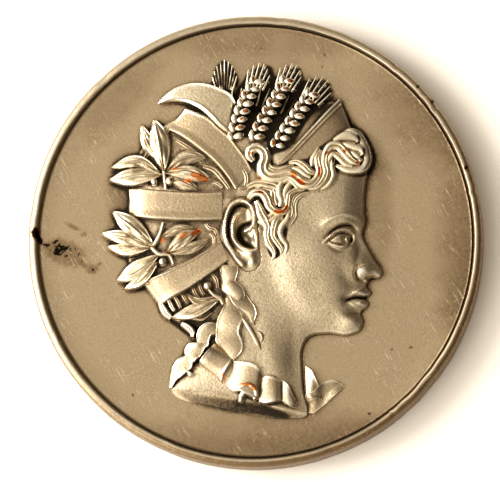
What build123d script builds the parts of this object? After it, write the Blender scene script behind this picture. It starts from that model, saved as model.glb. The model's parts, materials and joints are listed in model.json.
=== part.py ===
from build123d import *
import os
from collections import namedtuple
import numpy as np

# A struck table medal, lying on its back: one blank of silvered bronze, with a
# plain reverse and a head in profile in raised relief on the obverse.
# The origin is at the middle of the reverse rim's resting plane, +Z is the
# obverse, and +Y is the top of the head.

# Driving sizes, in millimetres
medal_diameter = 68.0
edge_thickness = 5.3
edge_round = 0.55
field_depth = 0.9
rim_width = 1.15
rim_crown = 0.5
groove_width = 0.25
bead_width = 0.45
bead_height = 0.3
reverse_rim_width = 1.6
reverse_rim_slope = 0.6
reverse_depth = 0.8
field_border = 3.24
relief_height = 3.6

facets_per_module = 18

# Every table below is laid out in modules: x, y, half_width and reach are in modules, and
# lift, rise and step are in shares of the relief height. The figure reaches just as far as
# the plain border of the field, which gives the module its size.

# The mound that carries the whole relief, how the head rises from the field, the slope
# of the struck sides, and the least height of any corner above or below the field
MOUND_MIDDLE = (-0.1, 0.0)
MOUND_REACH = (2.5, 2.95)
MOUND_LIFT = 0.72
MOUND_LEAST = 0.3
HEAD_STEP = 0.3
HEAD_SHOULDER = 0.75
SIDE_SLOPE = 7
LEAST_HEIGHT = 0.01

Place = namedtuple("Place", "x y")
HEAD_OUTLINE = (
    Place(1.72, 1.50), Place(1.84, 1.20), Place(1.80, 0.98), Place(1.75, 0.70), Place(1.74, 0.40),
    Place(1.75, 0.16), Place(1.70, 0.00), Place(1.80, -0.20), Place(1.93, -0.43), Place(2.02, -0.57),
    Place(1.98, -0.67), Place(1.78, -0.72), Place(1.77, -0.80), Place(1.84, -0.88), Place(1.73, -0.97),
    Place(1.80, -1.04), Place(1.77, -1.12), Place(1.67, -1.19), Place(1.72, -1.34), Place(1.65, -1.47),
    Place(1.48, -1.54),
    Place(1.15, -1.50), Place(0.85, -1.56), Place(0.78, -1.75), Place(0.80, -2.30), Place(0.86, -2.76),
    Place(0.50, -2.78), Place(-0.01, -2.71), Place(-0.40, -2.61), Place(-0.72, -2.53), Place(-1.03, -2.46),
    Place(-1.22, -2.33), Place(-0.95, -1.95), Place(-0.72, -1.60), Place(-0.85, -1.38), Place(-1.08, -1.32),
    Place(-1.36, -1.08), Place(-1.60, -0.76), Place(-1.83, -0.50), Place(-1.92, -0.20), Place(-1.91, 0.30),
    Place(-1.87, 0.80), Place(-1.80, 1.20), Place(-1.63, 1.55), Place(-1.27, 1.84), Place(-0.80, 2.00),
    Place(-0.30, 1.98), Place(0.35, 1.98), Place(0.90, 2.05), Place(1.32, 2.05), Place(1.45, 1.75),
)

# Soft swellings and hollows of the face and neck
Swelling = namedtuple("Swelling", "x y reach_x reach_y rise")
FACE = (
    Swelling(1.52, 0.20, 0.24, 0.10, 0.08),
    Swelling(1.44, -0.05, 0.22, 0.15, -0.13),
    Swelling(1.43, -0.09, 0.13, 0.09, 0.12),
    Swelling(1.00, -0.42, 0.36, 0.30, 0.08),
    Swelling(1.73, -0.60, 0.15, 0.12, 0.17),
    Swelling(1.58, -0.62, 0.06, 0.12, -0.07),
    Swelling(1.52, -0.98, 0.08, 0.08, -0.10),
    Swelling(1.70, -0.88, 0.14, 0.06, 0.07),
    Swelling(1.69, -1.07, 0.12, 0.06, 0.09),
    Swelling(1.56, -1.19, 0.14, 0.06, -0.06),
    Swelling(1.52, -1.37, 0.17, 0.14, 0.10),
    Swelling(0.62, -1.72, 0.30, 0.22, -0.14),
    Swelling(0.30, -2.10, 0.30, 0.60, 0.05),
    Swelling(-0.30, -2.62, 0.90, 0.14, -0.16),
)

# Raised strips, each with a row for every bend: where its middle line goes, how wide
# it is there and how far its crest stands above the mound
Section = namedtuple("Section", "x y half_width lift")
BANDS = (
    (Section(-1.15, 1.85, 0.21, 0.02), Section(-0.93, 1.74, 0.23, 0.07), Section(-0.74, 1.60, 0.23, 0.09),
     Section(-0.57, 1.45, 0.23, 0.10), Section(-0.33, 1.21, 0.21, 0.10), Section(-0.12, 0.90, 0.19, 0.08)),
    (Section(-1.84, 0.58, 0.22, -0.04), Section(-1.50, 0.53, 0.24, 0.06), Section(-1.00, 0.48, 0.23, 0.10),
     Section(-0.50, 0.47, 0.23, 0.09)),
    (Section(-1.48, -0.81, 0.22, -0.04), Section(-1.29, -0.72, 0.21, 0.05), Section(-1.07, -0.63, 0.21, 0.09),
     Section(-0.68, -0.39, 0.21, 0.10), Section(-0.41, -0.23, 0.19, 0.08)),
    (Section(1.36, 1.84, 0.19, 0.00), Section(1.17, 1.64, 0.22, 0.07), Section(0.90, 1.36, 0.19, 0.09),
     Section(0.60, 1.07, 0.14, 0.06)),
)
BLADE = (
    (Section(-1.37, 2.13, 0.02, 0.02), Section(-1.13, 2.19, 0.09, 0.06), Section(-0.92, 2.23, 0.17, 0.07),
     Section(-0.68, 2.16, 0.24, 0.07), Section(-0.50, 2.03, 0.24, 0.05), Section(-0.36, 1.82, 0.20, 0.02)),
)
LEAVES = (
    (Section(-1.69, 1.80, 0.03, 0.02), Section(-1.54, 1.50, 0.07, 0.06), Section(-1.39, 1.17, 0.03, 0.08)),
    (Section(-1.49, 1.86, 0.03, 0.05), Section(-1.40, 1.51, 0.14, 0.16), Section(-1.33, 1.04, 0.03, 0.12)),
    (Section(-2.17, 1.13, 0.03, 0.02), Section(-1.77, 1.22, 0.06, 0.08), Section(-1.40, 1.03, 0.03, 0.10)),
    (Section(-2.19, 0.95, 0.03, 0.02), Section(-1.82, 0.98, 0.11, 0.12), Section(-1.48, 0.99, 0.03, 0.12)),
    (Section(-0.69, 1.21, 0.03, 0.08), Section(-0.99, 1.24, 0.10, 0.17), Section(-1.28, 1.07, 0.03, 0.14)),
    (Section(-0.62, 0.89, 0.03, 0.10), Section(-0.98, 0.99, 0.09, 0.19), Section(-1.31, 1.01, 0.03, 0.14)),
    (Section(-0.79, 0.73, 0.03, 0.08), Section(-1.01, 0.84, 0.08, 0.15), Section(-1.28, 0.95, 0.03, 0.12)),
    (Section(-2.13, 0.46, 0.03, 0.02), Section(-1.84, 0.23, 0.12, 0.13), Section(-1.52, -0.07, 0.03, 0.10)),
    (Section(-2.31, 0.13, 0.03, 0.02), Section(-1.95, 0.06, 0.09, 0.11), Section(-1.52, -0.09, 0.03, 0.12)),
    (Section(-2.22, -0.07, 0.03, 0.02), Section(-1.90, -0.13, 0.07, 0.08), Section(-1.56, -0.10, 0.03, 0.10)),
    (Section(-2.06, -0.61, 0.03, 0.02), Section(-1.71, -0.44, 0.11, 0.13), Section(-1.42, -0.26, 0.03, 0.12)),
    (Section(-1.94, -0.74, 0.03, 0.02), Section(-1.68, -0.60, 0.06, 0.10), Section(-1.43, -0.36, 0.03, 0.12)),
    (Section(-0.79, 0.10, 0.03, 0.10), Section(-1.04, -0.01, 0.09, 0.19), Section(-1.26, -0.19, 0.03, 0.14)),
    (Section(-0.62, -0.03, 0.03, 0.08), Section(-0.92, -0.15, 0.07, 0.16), Section(-1.25, -0.21, 0.03, 0.12)),
    (Section(-1.20, -1.21, 0.03, 0.06), Section(-0.88, -1.13, 0.09, 0.15), Section(-0.49, -0.96, 0.03, 0.14)),
)
BERRIES = (
    (Section(-1.48, 0.88, 0.06, 0.13), Section(-1.47, 0.89, 0.06, 0.13)),
    (Section(-1.24, 0.88, 0.07, 0.15), Section(-1.23, 0.89, 0.07, 0.15)),
    (Section(-1.35, -0.35, 0.06, 0.15), Section(-1.34, -0.34, 0.06, 0.15)),
    (Section(-0.66, -0.75, 0.06, 0.17), Section(-0.65, -0.74, 0.06, 0.17)),
)
LOCKS = (
    (Section(0.02, 1.33, 0.08, 0.15), Section(0.12, 1.41, 0.08, 0.19), Section(0.24, 1.26, 0.08, 0.20),
     Section(0.18, 1.02, 0.09, 0.21), Section(0.28, 0.86, 0.10, 0.23), Section(0.52, 0.92, 0.11, 0.25),
     Section(0.68, 0.90, 0.11, 0.26), Section(0.84, 0.79, 0.11, 0.26), Section(1.02, 0.86, 0.11, 0.26),
     Section(1.09, 1.10, 0.11, 0.25), Section(1.19, 1.31, 0.11, 0.25), Section(1.36, 1.30, 0.11, 0.25),
     Section(1.50, 1.16, 0.11, 0.26), Section(1.68, 1.07, 0.11, 0.26), Section(1.77, 1.22, 0.09, 0.28),
     Section(1.70, 1.44, 0.08, 0.26), Section(1.50, 1.52, 0.08, 0.18)),
    (Section(1.28, 1.01, 0.07, 0.20), Section(1.50, 0.96, 0.08, 0.23), Section(1.72, 0.99, 0.06, 0.24)),
    (Section(1.46, 1.38, 0.06, 0.20), Section(1.62, 1.30, 0.06, 0.24), Section(1.74, 1.32, 0.05, 0.26)),
    (Section(0.48, 0.84, 0.08, 0.20), Section(0.43, 0.64, 0.08, 0.24), Section(0.46, 0.44, 0.08, 0.26),
     Section(0.56, 0.46, 0.07, 0.24), Section(0.60, 0.64, 0.06, 0.20), Section(0.74, 0.72, 0.05, 0.16)),
    (Section(0.02, 0.60, 0.09, 0.16), Section(0.18, 0.64, 0.11, 0.22), Section(0.24, 0.44, 0.13, 0.25),
     Section(0.30, 0.27, 0.10, 0.22), Section(0.27, 0.06, 0.08, 0.18), Section(0.32, -0.12, 0.07, 0.16),
     Section(0.37, -0.31, 0.04, 0.12)),
    (Section(0.58, 0.28, 0.07, 0.18), Section(0.42, 0.14, 0.08, 0.20), Section(0.43, -0.03, 0.08, 0.18),
     Section(0.52, -0.18, 0.07, 0.16), Section(0.49, -0.30, 0.04, 0.10)),
    (Section(-0.40, -0.75, 0.10, 0.10), Section(-0.52, -0.95, 0.16, 0.10), Section(-0.75, -1.22, 0.14, 0.08),
     Section(-0.98, -1.34, 0.10, 0.02)),
)
EAR = (
    (Section(0.05, 0.16, 0.06, 0.16), Section(0.05, 0.40, 0.07, 0.20), Section(-0.17, 0.58, 0.08, 0.22),
     Section(-0.36, 0.44, 0.09, 0.22), Section(-0.43, 0.10, 0.10, 0.21), Section(-0.33, -0.20, 0.10, 0.19),
     Section(-0.14, -0.38, 0.13, 0.18), Section(0.02, -0.38, 0.13, 0.16)),
    (Section(-0.20, 0.34, 0.05, 0.12), Section(-0.27, 0.06, 0.06, 0.14), Section(-0.20, -0.14, 0.06, 0.13)),
)
TAILS = (
    (Section(-0.30, -0.55, 0.10, 0.02), Section(-0.35, -0.72, 0.12, 0.10), Section(-0.22, -0.86, 0.12, 0.11),
     Section(-0.12, -1.00, 0.14, 0.08), Section(-0.28, -1.15, 0.22, 0.10), Section(-0.33, -1.45, 0.19, 0.13),
     Section(-0.33, -1.72, 0.20, 0.13), Section(-0.42, -1.95, 0.18, 0.13), Section(-0.55, -2.06, 0.20, 0.15)),
    (Section(-0.32, -2.04, 0.08, 0.10), Section(-0.14, -2.18, 0.22, 0.12), Section(0.04, -2.22, 0.20, 0.14)),
    (Section(-0.12, -2.40, 0.06, 0.12), Section(0.02, -2.30, 0.06, 0.15), Section(0.12, -2.40, 0.06, 0.12)),
    (Section(0.16, -2.32, 0.14, 0.05), Section(0.36, -2.34, 0.12, 0.06), Section(0.56, -2.44, 0.10, 0.02)),
    (Section(-0.57, -1.34, 0.08, 0.06), Section(-0.74, -1.50, 0.10, 0.10), Section(-0.84, -1.70, 0.13, 0.09),
     Section(-1.00, -1.86, 0.10, 0.06), Section(-1.13, -2.04, 0.09, 0.02), Section(-1.23, -2.26, 0.04, -0.06)),
    (Section(0.85, -2.10, 0.06, -0.10), Section(0.98, -2.36, 0.15, -0.16), Section(0.98, -2.56, 0.14, -0.20),
     Section(1.20, -2.36, 0.10, -0.20), Section(1.38, -2.30, 0.04, -0.26)),
)
SPINDLE = (
    (Section(-0.10, -1.30, 0.05, 0.10), Section(0.02, -1.50, 0.06, 0.12), Section(0.13, -1.68, 0.04, 0.04)),
)
WHEAT_AWNS = (
    (Section(-0.18, 1.70, 0.10, 0.00), Section(0.02, 2.25, 0.17, -0.02), Section(0.18, 2.58, 0.14, -0.06),
     Section(0.28, 2.74, 0.05, -0.12)),
    (Section(0.20, 1.80, 0.10, 0.00), Section(0.48, 2.30, 0.17, -0.02), Section(0.64, 2.58, 0.14, -0.08),
     Section(0.72, 2.69, 0.06, -0.14)),
    (Section(0.60, 1.70, 0.10, 0.00), Section(0.88, 2.12, 0.18, -0.02), Section(1.08, 2.36, 0.17, -0.08),
     Section(1.18, 2.44, 0.08, -0.14)),
    (Section(-0.38, 2.26, 0.06, 0.00), Section(-0.42, 2.46, 0.13, 0.00), Section(-0.43, 2.60, 0.16, -0.04),
     Section(-0.43, 2.70, 0.10, -0.10)),
)

# The ears of wheat: a stalk line, with a pair of grains at every step along it
Stalk = namedtuple("Stalk", "x y")
WHEAT_STALKS = (
    (Stalk(-0.21, 1.52), Stalk(-0.19, 1.70), Stalk(-0.13, 1.93), Stalk(-0.02, 2.18), Stalk(0.12, 2.46)),
    (Stalk(0.09, 1.52), Stalk(0.18, 1.73), Stalk(0.30, 1.95), Stalk(0.43, 2.18), Stalk(0.57, 2.44)),
    (Stalk(0.39, 1.36), Stalk(0.52, 1.56), Stalk(0.67, 1.79), Stalk(0.82, 2.01), Stalk(0.95, 2.19)),
)
GRAIN_PITCH = 0.135
GRAIN_LENGTH = 0.12
GRAIN_SPREAD = 0.065
GRAIN_HALF_WIDTH = 0.055
GRAIN_LIFT = 0.2
GRAIN_CROWN = 0.1

# Each group of strips, with how far their crests stand above their edges
RAISED_GROUPS = (
    (BANDS, 0.02), (BLADE, 0.05), (LEAVES, 0.08), (BERRIES, 0.1), (LOCKS, 0.12),
    (EAR, 0.08), (TAILS, 0.06), (SPINDLE, 0.06), (WHEAT_AWNS, 0.06),
)

# Levels and radii that follow from the driving sizes, and the module that the tables use
outer_radius = medal_diameter / 2
field_radius = outer_radius - rim_width - groove_width - bead_width
field_level = edge_thickness - field_depth
strip_reach = max(
    np.hypot(section.x, section.y) + section.half_width
    for group, crown in RAISED_GROUPS for strip in group for section in strip
)
head_reach = max(np.hypot(place.x, place.y) for place in HEAD_OUTLINE)
layout_reach = max(strip_reach, head_reach)
module = (field_radius - field_border) / layout_reach


def make_blank():
    """The disc with its plain reverse, its rims and the flat field of the obverse."""
    reverse_foot = outer_radius - reverse_rim_width
    groove_radius = field_radius + bead_width
    rim_foot = groove_radius + groove_width
    rim_fall = edge_thickness - rim_crown * (rim_width - edge_round)
    with BuildPart() as blank:
        with BuildSketch(Plane.XZ):
            with BuildLine():
                Polyline(
                    (0, field_level),
                    (0, reverse_depth),
                    (reverse_foot - reverse_rim_slope, reverse_depth),
                    (reverse_foot, 0),
                    (outer_radius - edge_round, 0),
                )
                RadiusArc((outer_radius - edge_round, 0), (outer_radius, edge_round), -edge_round)
                Line((outer_radius, edge_round), (outer_radius, edge_thickness - edge_round))
                RadiusArc(
                    (outer_radius, edge_thickness - edge_round),
                    (outer_radius - edge_round, edge_thickness),
                    -edge_round,
                )
                Line((outer_radius - edge_round, edge_thickness), (rim_foot, rim_fall))
                Line((rim_foot, rim_fall), (rim_foot, field_level))
                Line((rim_foot, field_level), (groove_radius, field_level))
                ThreePointArc(
                    (groove_radius, field_level),
                    (groove_radius - bead_width / 2, field_level + bead_height),
                    (field_radius, field_level),
                )
                Line((field_radius, field_level), (0, field_level))
            make_face()
        revolve(axis=Axis.Z)
    return blank.part


def mound(x, y):
    """Height of the broad swell that carries the relief."""
    across = ((x - MOUND_MIDDLE[0]) / MOUND_REACH[0]) ** 2
    along = ((y - MOUND_MIDDLE[1]) / MOUND_REACH[1]) ** 2
    return MOUND_LIFT * np.sqrt(np.maximum(1 - across - along, MOUND_LEAST ** 2))


def nearest_on(x, y, start, end):
    """Distance to the line between two places, and how far along it the nearest point lies."""
    run_x, run_y = end.x - start.x, end.y - start.y
    along = ((x - start.x) * run_x + (y - start.y) * run_y) / (run_x ** 2 + run_y ** 2)
    along = np.clip(along, 0, 1)
    return np.hypot(x - start.x - along * run_x, y - start.y - along * run_y), along


def inside_distance(x, y, outline):
    """Distance to a closed outline, counted negative outside it."""
    distance = np.full(x.shape, np.inf)
    inside = np.zeros(x.shape, bool)
    for start, end in zip(outline, outline[1:] + outline[:1]):
        distance = np.minimum(distance, nearest_on(x, y, start, end)[0])
        if start.y != end.y:
            crossing = start.x + (y - start.y) * (end.x - start.x) / (end.y - start.y)
            inside ^= ((start.y > y) != (end.y > y)) & (x < crossing)
    return np.where(inside, distance, -distance)


def head_form(x, y):
    """Height of the head and neck without the forms that lie on them, and the distance inside."""
    inside = inside_distance(x, y, HEAD_OUTLINE)
    shoulder = np.clip(inside / HEAD_SHOULDER, 0, 1)
    height = mound(x, y) * (HEAD_STEP + (1 - HEAD_STEP) * np.sqrt(1 - (1 - shoulder) ** 2))
    for form in FACE:
        away = ((x - form.x) / form.reach_x) ** 2 + ((y - form.y) / form.reach_y) ** 2
        height = height + form.rise * np.exp(-away)
    return np.where(inside > 0, height, 0), inside


def strip_form(x, y, sections, crown):
    """Height of a raised strip, and the distance inside its edges.

    crown is how far the strip's crest stands above its edges.
    """
    height = np.zeros(x.shape)
    inside = np.full(x.shape, -np.inf)
    ground = mound(x, y)
    for start, end in zip(sections, sections[1:]):
        distance, along = nearest_on(x, y, start, end)
        half_width = start.half_width + along * (end.half_width - start.half_width)
        lift = start.lift + along * (end.lift - start.lift)
        fall = crown * (1 - np.sqrt(1 - np.minimum(distance / half_width, 1) ** 2))
        height = np.where(distance < half_width, np.maximum(height, ground + lift - fall), height)
        inside = np.maximum(inside, half_width - distance)
    return height, inside


def point_along(line, distance):
    """The place and direction at a distance along a line of places."""
    for start, end in zip(line, line[1:]):
        run = float(np.hypot(end.x - start.x, end.y - start.y))
        step = ((end.x - start.x) / run, (end.y - start.y) / run)
        if distance <= run:
            break
        distance -= run
    return start.x + step[0] * distance, start.y + step[1] * distance, step


def wheat_grains(stalk):
    """Two rows of grains along a stalk, leaning outwards to left and right."""
    length = sum(np.hypot(end.x - start.x, end.y - start.y) for start, end in zip(stalk, stalk[1:]))
    grains = []
    for number in range(int(length / GRAIN_PITCH)):
        for side in (-1, 1):
            x, y, step = point_along(stalk, GRAIN_PITCH * (number + 0.25 * side + 0.25))
            foot_x = x - side * 0.3 * GRAIN_SPREAD * step[1]
            foot_y = y + side * 0.3 * GRAIN_SPREAD * step[0]
            tip_x = x + GRAIN_LENGTH * step[0] - side * GRAIN_SPREAD * step[1]
            tip_y = y + GRAIN_LENGTH * step[1] + side * GRAIN_SPREAD * step[0]
            grains.append((
                Section(foot_x, foot_y, GRAIN_HALF_WIDTH, GRAIN_LIFT),
                Section(tip_x, tip_y, GRAIN_HALF_WIDTH, GRAIN_LIFT),
            ))
    return grains


def relief_form(x, y):
    """Height of the whole relief in shares of the relief height, negative where the field is bare."""
    strips = [(strip, crown) for group, crown in RAISED_GROUPS for strip in group]
    strips += [(grain, GRAIN_CROWN) for stalk in WHEAT_STALKS for grain in wheat_grains(stalk)]
    height, inside = head_form(x, y)
    for strip, crown in strips:
        strip_height, strip_inside = strip_form(x, y, strip, crown)
        height = np.maximum(height, strip_height)
        inside = np.maximum(inside, strip_inside)
    return np.minimum(height, SIDE_SLOPE * inside)


def fill_hollows(raised):
    """The places that are raised, or that the raised places shut off from the border."""
    open_ground = np.zeros(raised.shape, bool)
    open_ground[[0, -1], :] = True
    open_ground[:, [0, -1]] = True
    reached = 0
    while open_ground.sum() > reached:
        reached = open_ground.sum()
        grown = open_ground.copy()
        grown[1:, :] |= open_ground[:-1, :]
        grown[:-1, :] |= open_ground[1:, :]
        grown[:, 1:] |= open_ground[:, :-1]
        grown[:, :-1] |= open_ground[:, 1:]
        open_ground = grown & ~raised
    return ~open_ground


def relief_facets():
    """Flat facets over the figure, cut off at the field, and the loops where they meet it."""
    count = int(np.ceil(layout_reach * facets_per_module)) + 1
    places = np.arange(-count, count + 1) / facets_per_module
    x, y = np.meshgrid(places, places, indexing="ij")
    height = relief_form(x, y)
    raised = fill_hollows(height > 0)
    height = np.where(raised, np.maximum(height, LEAST_HEIGHT), np.minimum(height, -LEAST_HEIGHT))

    def corner(node):
        return Vector(x[node] * module, y[node] * module, field_level + height[node] * relief_height)

    def crossing(start, end):
        share = height[start] / (height[start] - height[end])
        return corner(start) + (corner(end) - corner(start)) * share

    facets = []
    next_cut = {}
    cut_points = {}
    for i, j in zip(*np.nonzero(raised[:-1, :-1] | raised[1:, :-1] | raised[:-1, 1:] | raised[1:, 1:])):
        near, right, far, left = (i, j), (i + 1, j), (i + 1, j + 1), (i, j + 1)
        for triangle in ((near, right, far), (near, far, left)):
            facet = []
            for start, end in zip(triangle, triangle[1:] + triangle[:1]):
                if raised[start]:
                    facet.append(corner(start))
                if raised[start] != raised[end]:
                    cut = tuple(sorted((start, end)))
                    cut_points.setdefault(cut, crossing(*cut))
                    facet.append(cut_points[cut])
                    if raised[start]:
                        leaving = cut
                    else:
                        entering = cut
            if facet:
                facets.append(facet)
            if 0 < sum(raised[node] for node in triangle) < 3:
                next_cut[leaving] = entering

    loops = []
    while next_cut:
        cut, following = next_cut.popitem()
        loop = [cut_points[cut]]
        while following in next_cut:
            loop.append(cut_points[following])
            following = next_cut.pop(following)
        loops.append(loop)
    return facets, loops


def make_medal():
    """The blank and its relief, struck as one piece: the relief takes the place of the field's middle."""
    blank = make_blank()
    upward = blank.faces().filter_by(lambda face: face.normal_at().Z > 0.99)
    field = upward.sort_by(SortBy.AREA)[-1]
    facets, loops = relief_facets()
    faces = [face for face in blank.faces() if not face.is_same(field)]
    faces.append(Face(field.outer_wire(), [Wire.make_polygon(loop) for loop in loops]))
    faces += [Face(Wire.make_polygon(facet)) for facet in facets]
    return Solid(Shell(faces))


medal = make_medal()
os.makedirs("parts", exist_ok=True)
export_step(medal, "parts/medal.step")
print("medal volume", medal.volume, "valid", medal.is_valid)
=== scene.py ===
import json
import math
from collections import namedtuple

import bmesh
import bpy
import numpy as np
from bpy.props import FloatProperty, FloatVectorProperty, IntProperty, PointerProperty
from mathutils import Matrix, Vector

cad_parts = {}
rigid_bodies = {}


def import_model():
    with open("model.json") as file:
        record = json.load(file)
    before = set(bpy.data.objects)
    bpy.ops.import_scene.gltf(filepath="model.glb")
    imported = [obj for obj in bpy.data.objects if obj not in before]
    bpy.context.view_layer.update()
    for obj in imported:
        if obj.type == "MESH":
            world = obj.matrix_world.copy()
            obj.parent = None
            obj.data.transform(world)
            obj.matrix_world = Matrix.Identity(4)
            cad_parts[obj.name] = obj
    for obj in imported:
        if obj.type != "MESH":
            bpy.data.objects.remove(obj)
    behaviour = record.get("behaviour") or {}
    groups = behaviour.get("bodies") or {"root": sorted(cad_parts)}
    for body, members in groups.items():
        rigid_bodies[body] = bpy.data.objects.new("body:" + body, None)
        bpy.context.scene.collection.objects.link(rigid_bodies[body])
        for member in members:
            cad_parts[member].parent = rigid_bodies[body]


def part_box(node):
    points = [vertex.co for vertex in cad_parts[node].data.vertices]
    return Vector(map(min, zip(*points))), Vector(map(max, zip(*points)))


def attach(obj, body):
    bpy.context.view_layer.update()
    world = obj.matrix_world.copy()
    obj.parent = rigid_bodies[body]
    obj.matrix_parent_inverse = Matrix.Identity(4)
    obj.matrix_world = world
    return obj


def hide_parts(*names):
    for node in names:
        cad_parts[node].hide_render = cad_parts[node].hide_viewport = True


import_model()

bl_info = {
    "name": "Commemorative medal",
    "version": (1, 0, 0),
    "blender": (4, 5, 0),
    "location": "View3D > Sidebar > Medal",
    "description": "Builds a struck silvered medal with a profile head in relief",
    "category": "Object",
}

# Everything below is laid out in millimetres on the medal's face: x to the right,
# y to the top of the head, and heights counted from the flat field.
MM = 0.001
NODE = "medal"
BODY = "root"
BLANK = "medal_blank"
HEAD = "head_and_neck"
HAIR = "hair_locks"
LOW_CORNER, HIGH_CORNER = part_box(NODE)


def length_size(name, description, default_mm):
    """A length that the user may change, kept in metres."""
    return FloatProperty(
        name=name, description=description, default=default_mm * MM, min=0.0,
        unit="LENGTH", subtype="DISTANCE", precision=5,
    )


def colour(name, description, default):
    """A colour that the user may change."""
    return FloatVectorProperty(
        name=name, description=description, default=default, size=3, min=0.0, max=1.0, subtype="COLOR",
    )


class MedalSizes(bpy.types.PropertyGroup):
    """Sizes of the blank, of the relief's mesh and of what repeats on it"""

    diameter: length_size("Diameter", "Across the blank", (HIGH_CORNER[0] - LOW_CORNER[0]) / MM)
    edge_thickness: length_size("Edge thickness", "From the floor to the top of the rim", 5.3)
    field_depth: length_size("Field depth", "From the top of the rim down to the flat field", 0.9)
    reverse_depth: length_size("Reverse depth", "From the back rim to the plain reverse", 0.8)
    relief_grid: length_size("Relief grid", "Spacing of the mesh that carries head and neck", 0.13)
    grain_pitch: length_size("Grain pitch", "Step from one pair of grains to the next", 1.28)
    grain_length: length_size("Grain length", "Length of one grain of wheat", 1.6)
    grain_width: length_size("Grain width", "Width of one grain of wheat", 0.95)
    berry_radius: length_size("Berry radius", "Radius of a laurel berry", 0.55)
    grain_seed: IntProperty(name="Grain seed", description="Seed of the grains' differences", default=4)


class MedalColours(bpy.types.PropertyGroup):
    """Colours of the worn plating, of the tarnish with its painted shade, of the painted highlights and of
    the stage
    """

    plating: colour("Plating", "Dull silver of the field", (0.362, 0.274, 0.165))
    satin: colour("Satin", "Clean satin silver of the relief", (0.70, 0.60, 0.42))
    # Silver worn bright on the high points, and the painted highlight there
    polished_and_highlight: colour("Polished", "Silver rubbed bright on the high points", (0.96, 0.90, 0.76))
    # Dark tarnish in the recesses, and the painted shade there, in the creases and under overhangs
    tarnish_and_shade: colour("Tarnish", "Dark tarnish in the recesses", (0.020, 0.013, 0.006))
    # Brown tarnish and painted shade around the forms; also the colour of brown smudges and specks
    brown_tarnish_and_shade: colour("Warm tarnish", "Thin brown tarnish around the forms", (0.16, 0.095, 0.042))
    bare_bronze: colour("Bare bronze", "Copper-red bronze where the plating is gone", (0.52, 0.17, 0.045))
    # Black of the stains, and of the painted shade on the rim's wall
    stain_and_shade: colour("Stain", "Black stain near the rim", (0.006, 0.004, 0.002))
    floor: colour("Floor", "Plain pale floor", (0.93, 0.87, 0.79))


# The mound that carries the relief: middle, reach, height and the least share of that height
MOUND_MIDDLE = (-1.0, 0.0)
MOUND_REACH = (25.0, 29.5)
MOUND_HEIGHT = 2.59
MOUND_LEAST = 0.3
# How far the forms sink into the blank, how steep their struck sides are and how round their edges
SINK = 0.35
SIDE_SLOPE = 3.2
SIDE_DRAFT = 0.12
EDGE_ROUNDING = 0.35
# The relief's tables are one drawing; on the medal its two directions and its middle are these
DRAWN_RIGHT = (0.9787, 0.0202)
DRAWN_UP = (0.0005, 0.9809)
DRAWN_SHIFT = (-0.463, 0.347)

# Cross-sections along a strip and along a ribbon; the lifts are counted from the mound
Section = namedtuple("Section", "x y half_width lift")
RibbonSection = namedtuple("RibbonSection", "left_x left_y right_x right_y left_lift right_lift")


def table(kind, rows):
    """Rows of numbers with their columns named."""
    return [kind(*row) for row in rows]


def mound(x, y):
    """Height of the broad swell under the whole relief."""
    across = ((x - MOUND_MIDDLE[0]) / MOUND_REACH[0]) ** 2
    along = ((y - MOUND_MIDDLE[1]) / MOUND_REACH[1]) ** 2
    return MOUND_HEIGHT * np.sqrt(np.maximum(1 - across - along, MOUND_LEAST ** 2))


def smooth_path(rows, spacing):
    """Rows of numbers joined by a smooth curve and read again at even steps of x and y."""
    rows = np.array(rows, float)
    chords = np.hypot(*np.diff(rows[:, :2], axis=0).T)
    knots = np.concatenate(([0.0], np.cumsum(chords)))
    slopes = np.gradient(rows, knots, axis=0)
    places = np.linspace(0.0, knots[-1], max(int(knots[-1] / spacing), 5) + 1)
    piece = np.clip(np.searchsorted(knots, places, side="right") - 1, 0, len(chords) - 1)
    length = chords[piece][:, None]
    t = (places[:, None] - knots[piece][:, None]) / length
    start, end = rows[piece], rows[piece + 1]
    slope_in, slope_out = slopes[piece] * length, slopes[piece + 1] * length
    return (
        (2 * t ** 3 - 3 * t ** 2 + 1) * start + (t ** 3 - 2 * t ** 2 + t) * slope_in
        + (3 * t ** 2 - 2 * t ** 3) * end + (t ** 3 - t ** 2) * slope_out
    )


def closed_path(rows, spacing):
    """A smooth outline that comes back to its start."""
    return smooth_path(rows + rows[:1], spacing)[:-1]


def smooth_step(value):
    """0 to 1 with soft ends."""
    value = np.clip(value, 0, 1)
    return value * value * (3 - 2 * value)


def line(value, middle, half_width, power=2):
    """A soft line: 1 on its middle, falling to 0 beyond its half width."""
    return np.exp(-((value - middle) / half_width) ** power)


def oval_distance(x, y, oval):
    """The square of how far each place is from the middle of a turned oval, in shares of its reach."""
    turn = math.radians(oval.turn)
    right = (x - oval.x) * math.cos(turn) + (y - oval.y) * math.sin(turn)
    up = (y - oval.y) * math.cos(turn) - (x - oval.x) * math.sin(turn)
    return (right / oval.reach_x) ** 2 + (up / oval.reach_y) ** 2


def outline_distance(x, y, outline):
    """Distance to a closed line of places, negative outside it."""
    distance = np.full(x.shape, np.inf)
    inside = np.zeros(x.shape, bool)
    for (start_x, start_y), (end_x, end_y) in zip(outline, np.roll(outline, -1, axis=0)):
        run_x, run_y = end_x - start_x, end_y - start_y
        share = ((x - start_x) * run_x + (y - start_y) * run_y) / max(run_x ** 2 + run_y ** 2, 1e-9)
        share = np.clip(share, 0, 1)
        distance = np.minimum(distance, np.hypot(x - start_x - share * run_x, y - start_y - share * run_y))
        if start_y != end_y:
            crossing = start_x + (y - start_y) * run_x / run_y
            inside ^= ((start_y > y) != (end_y > y)) & (x < crossing)
    return np.where(inside, distance, -distance)


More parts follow.
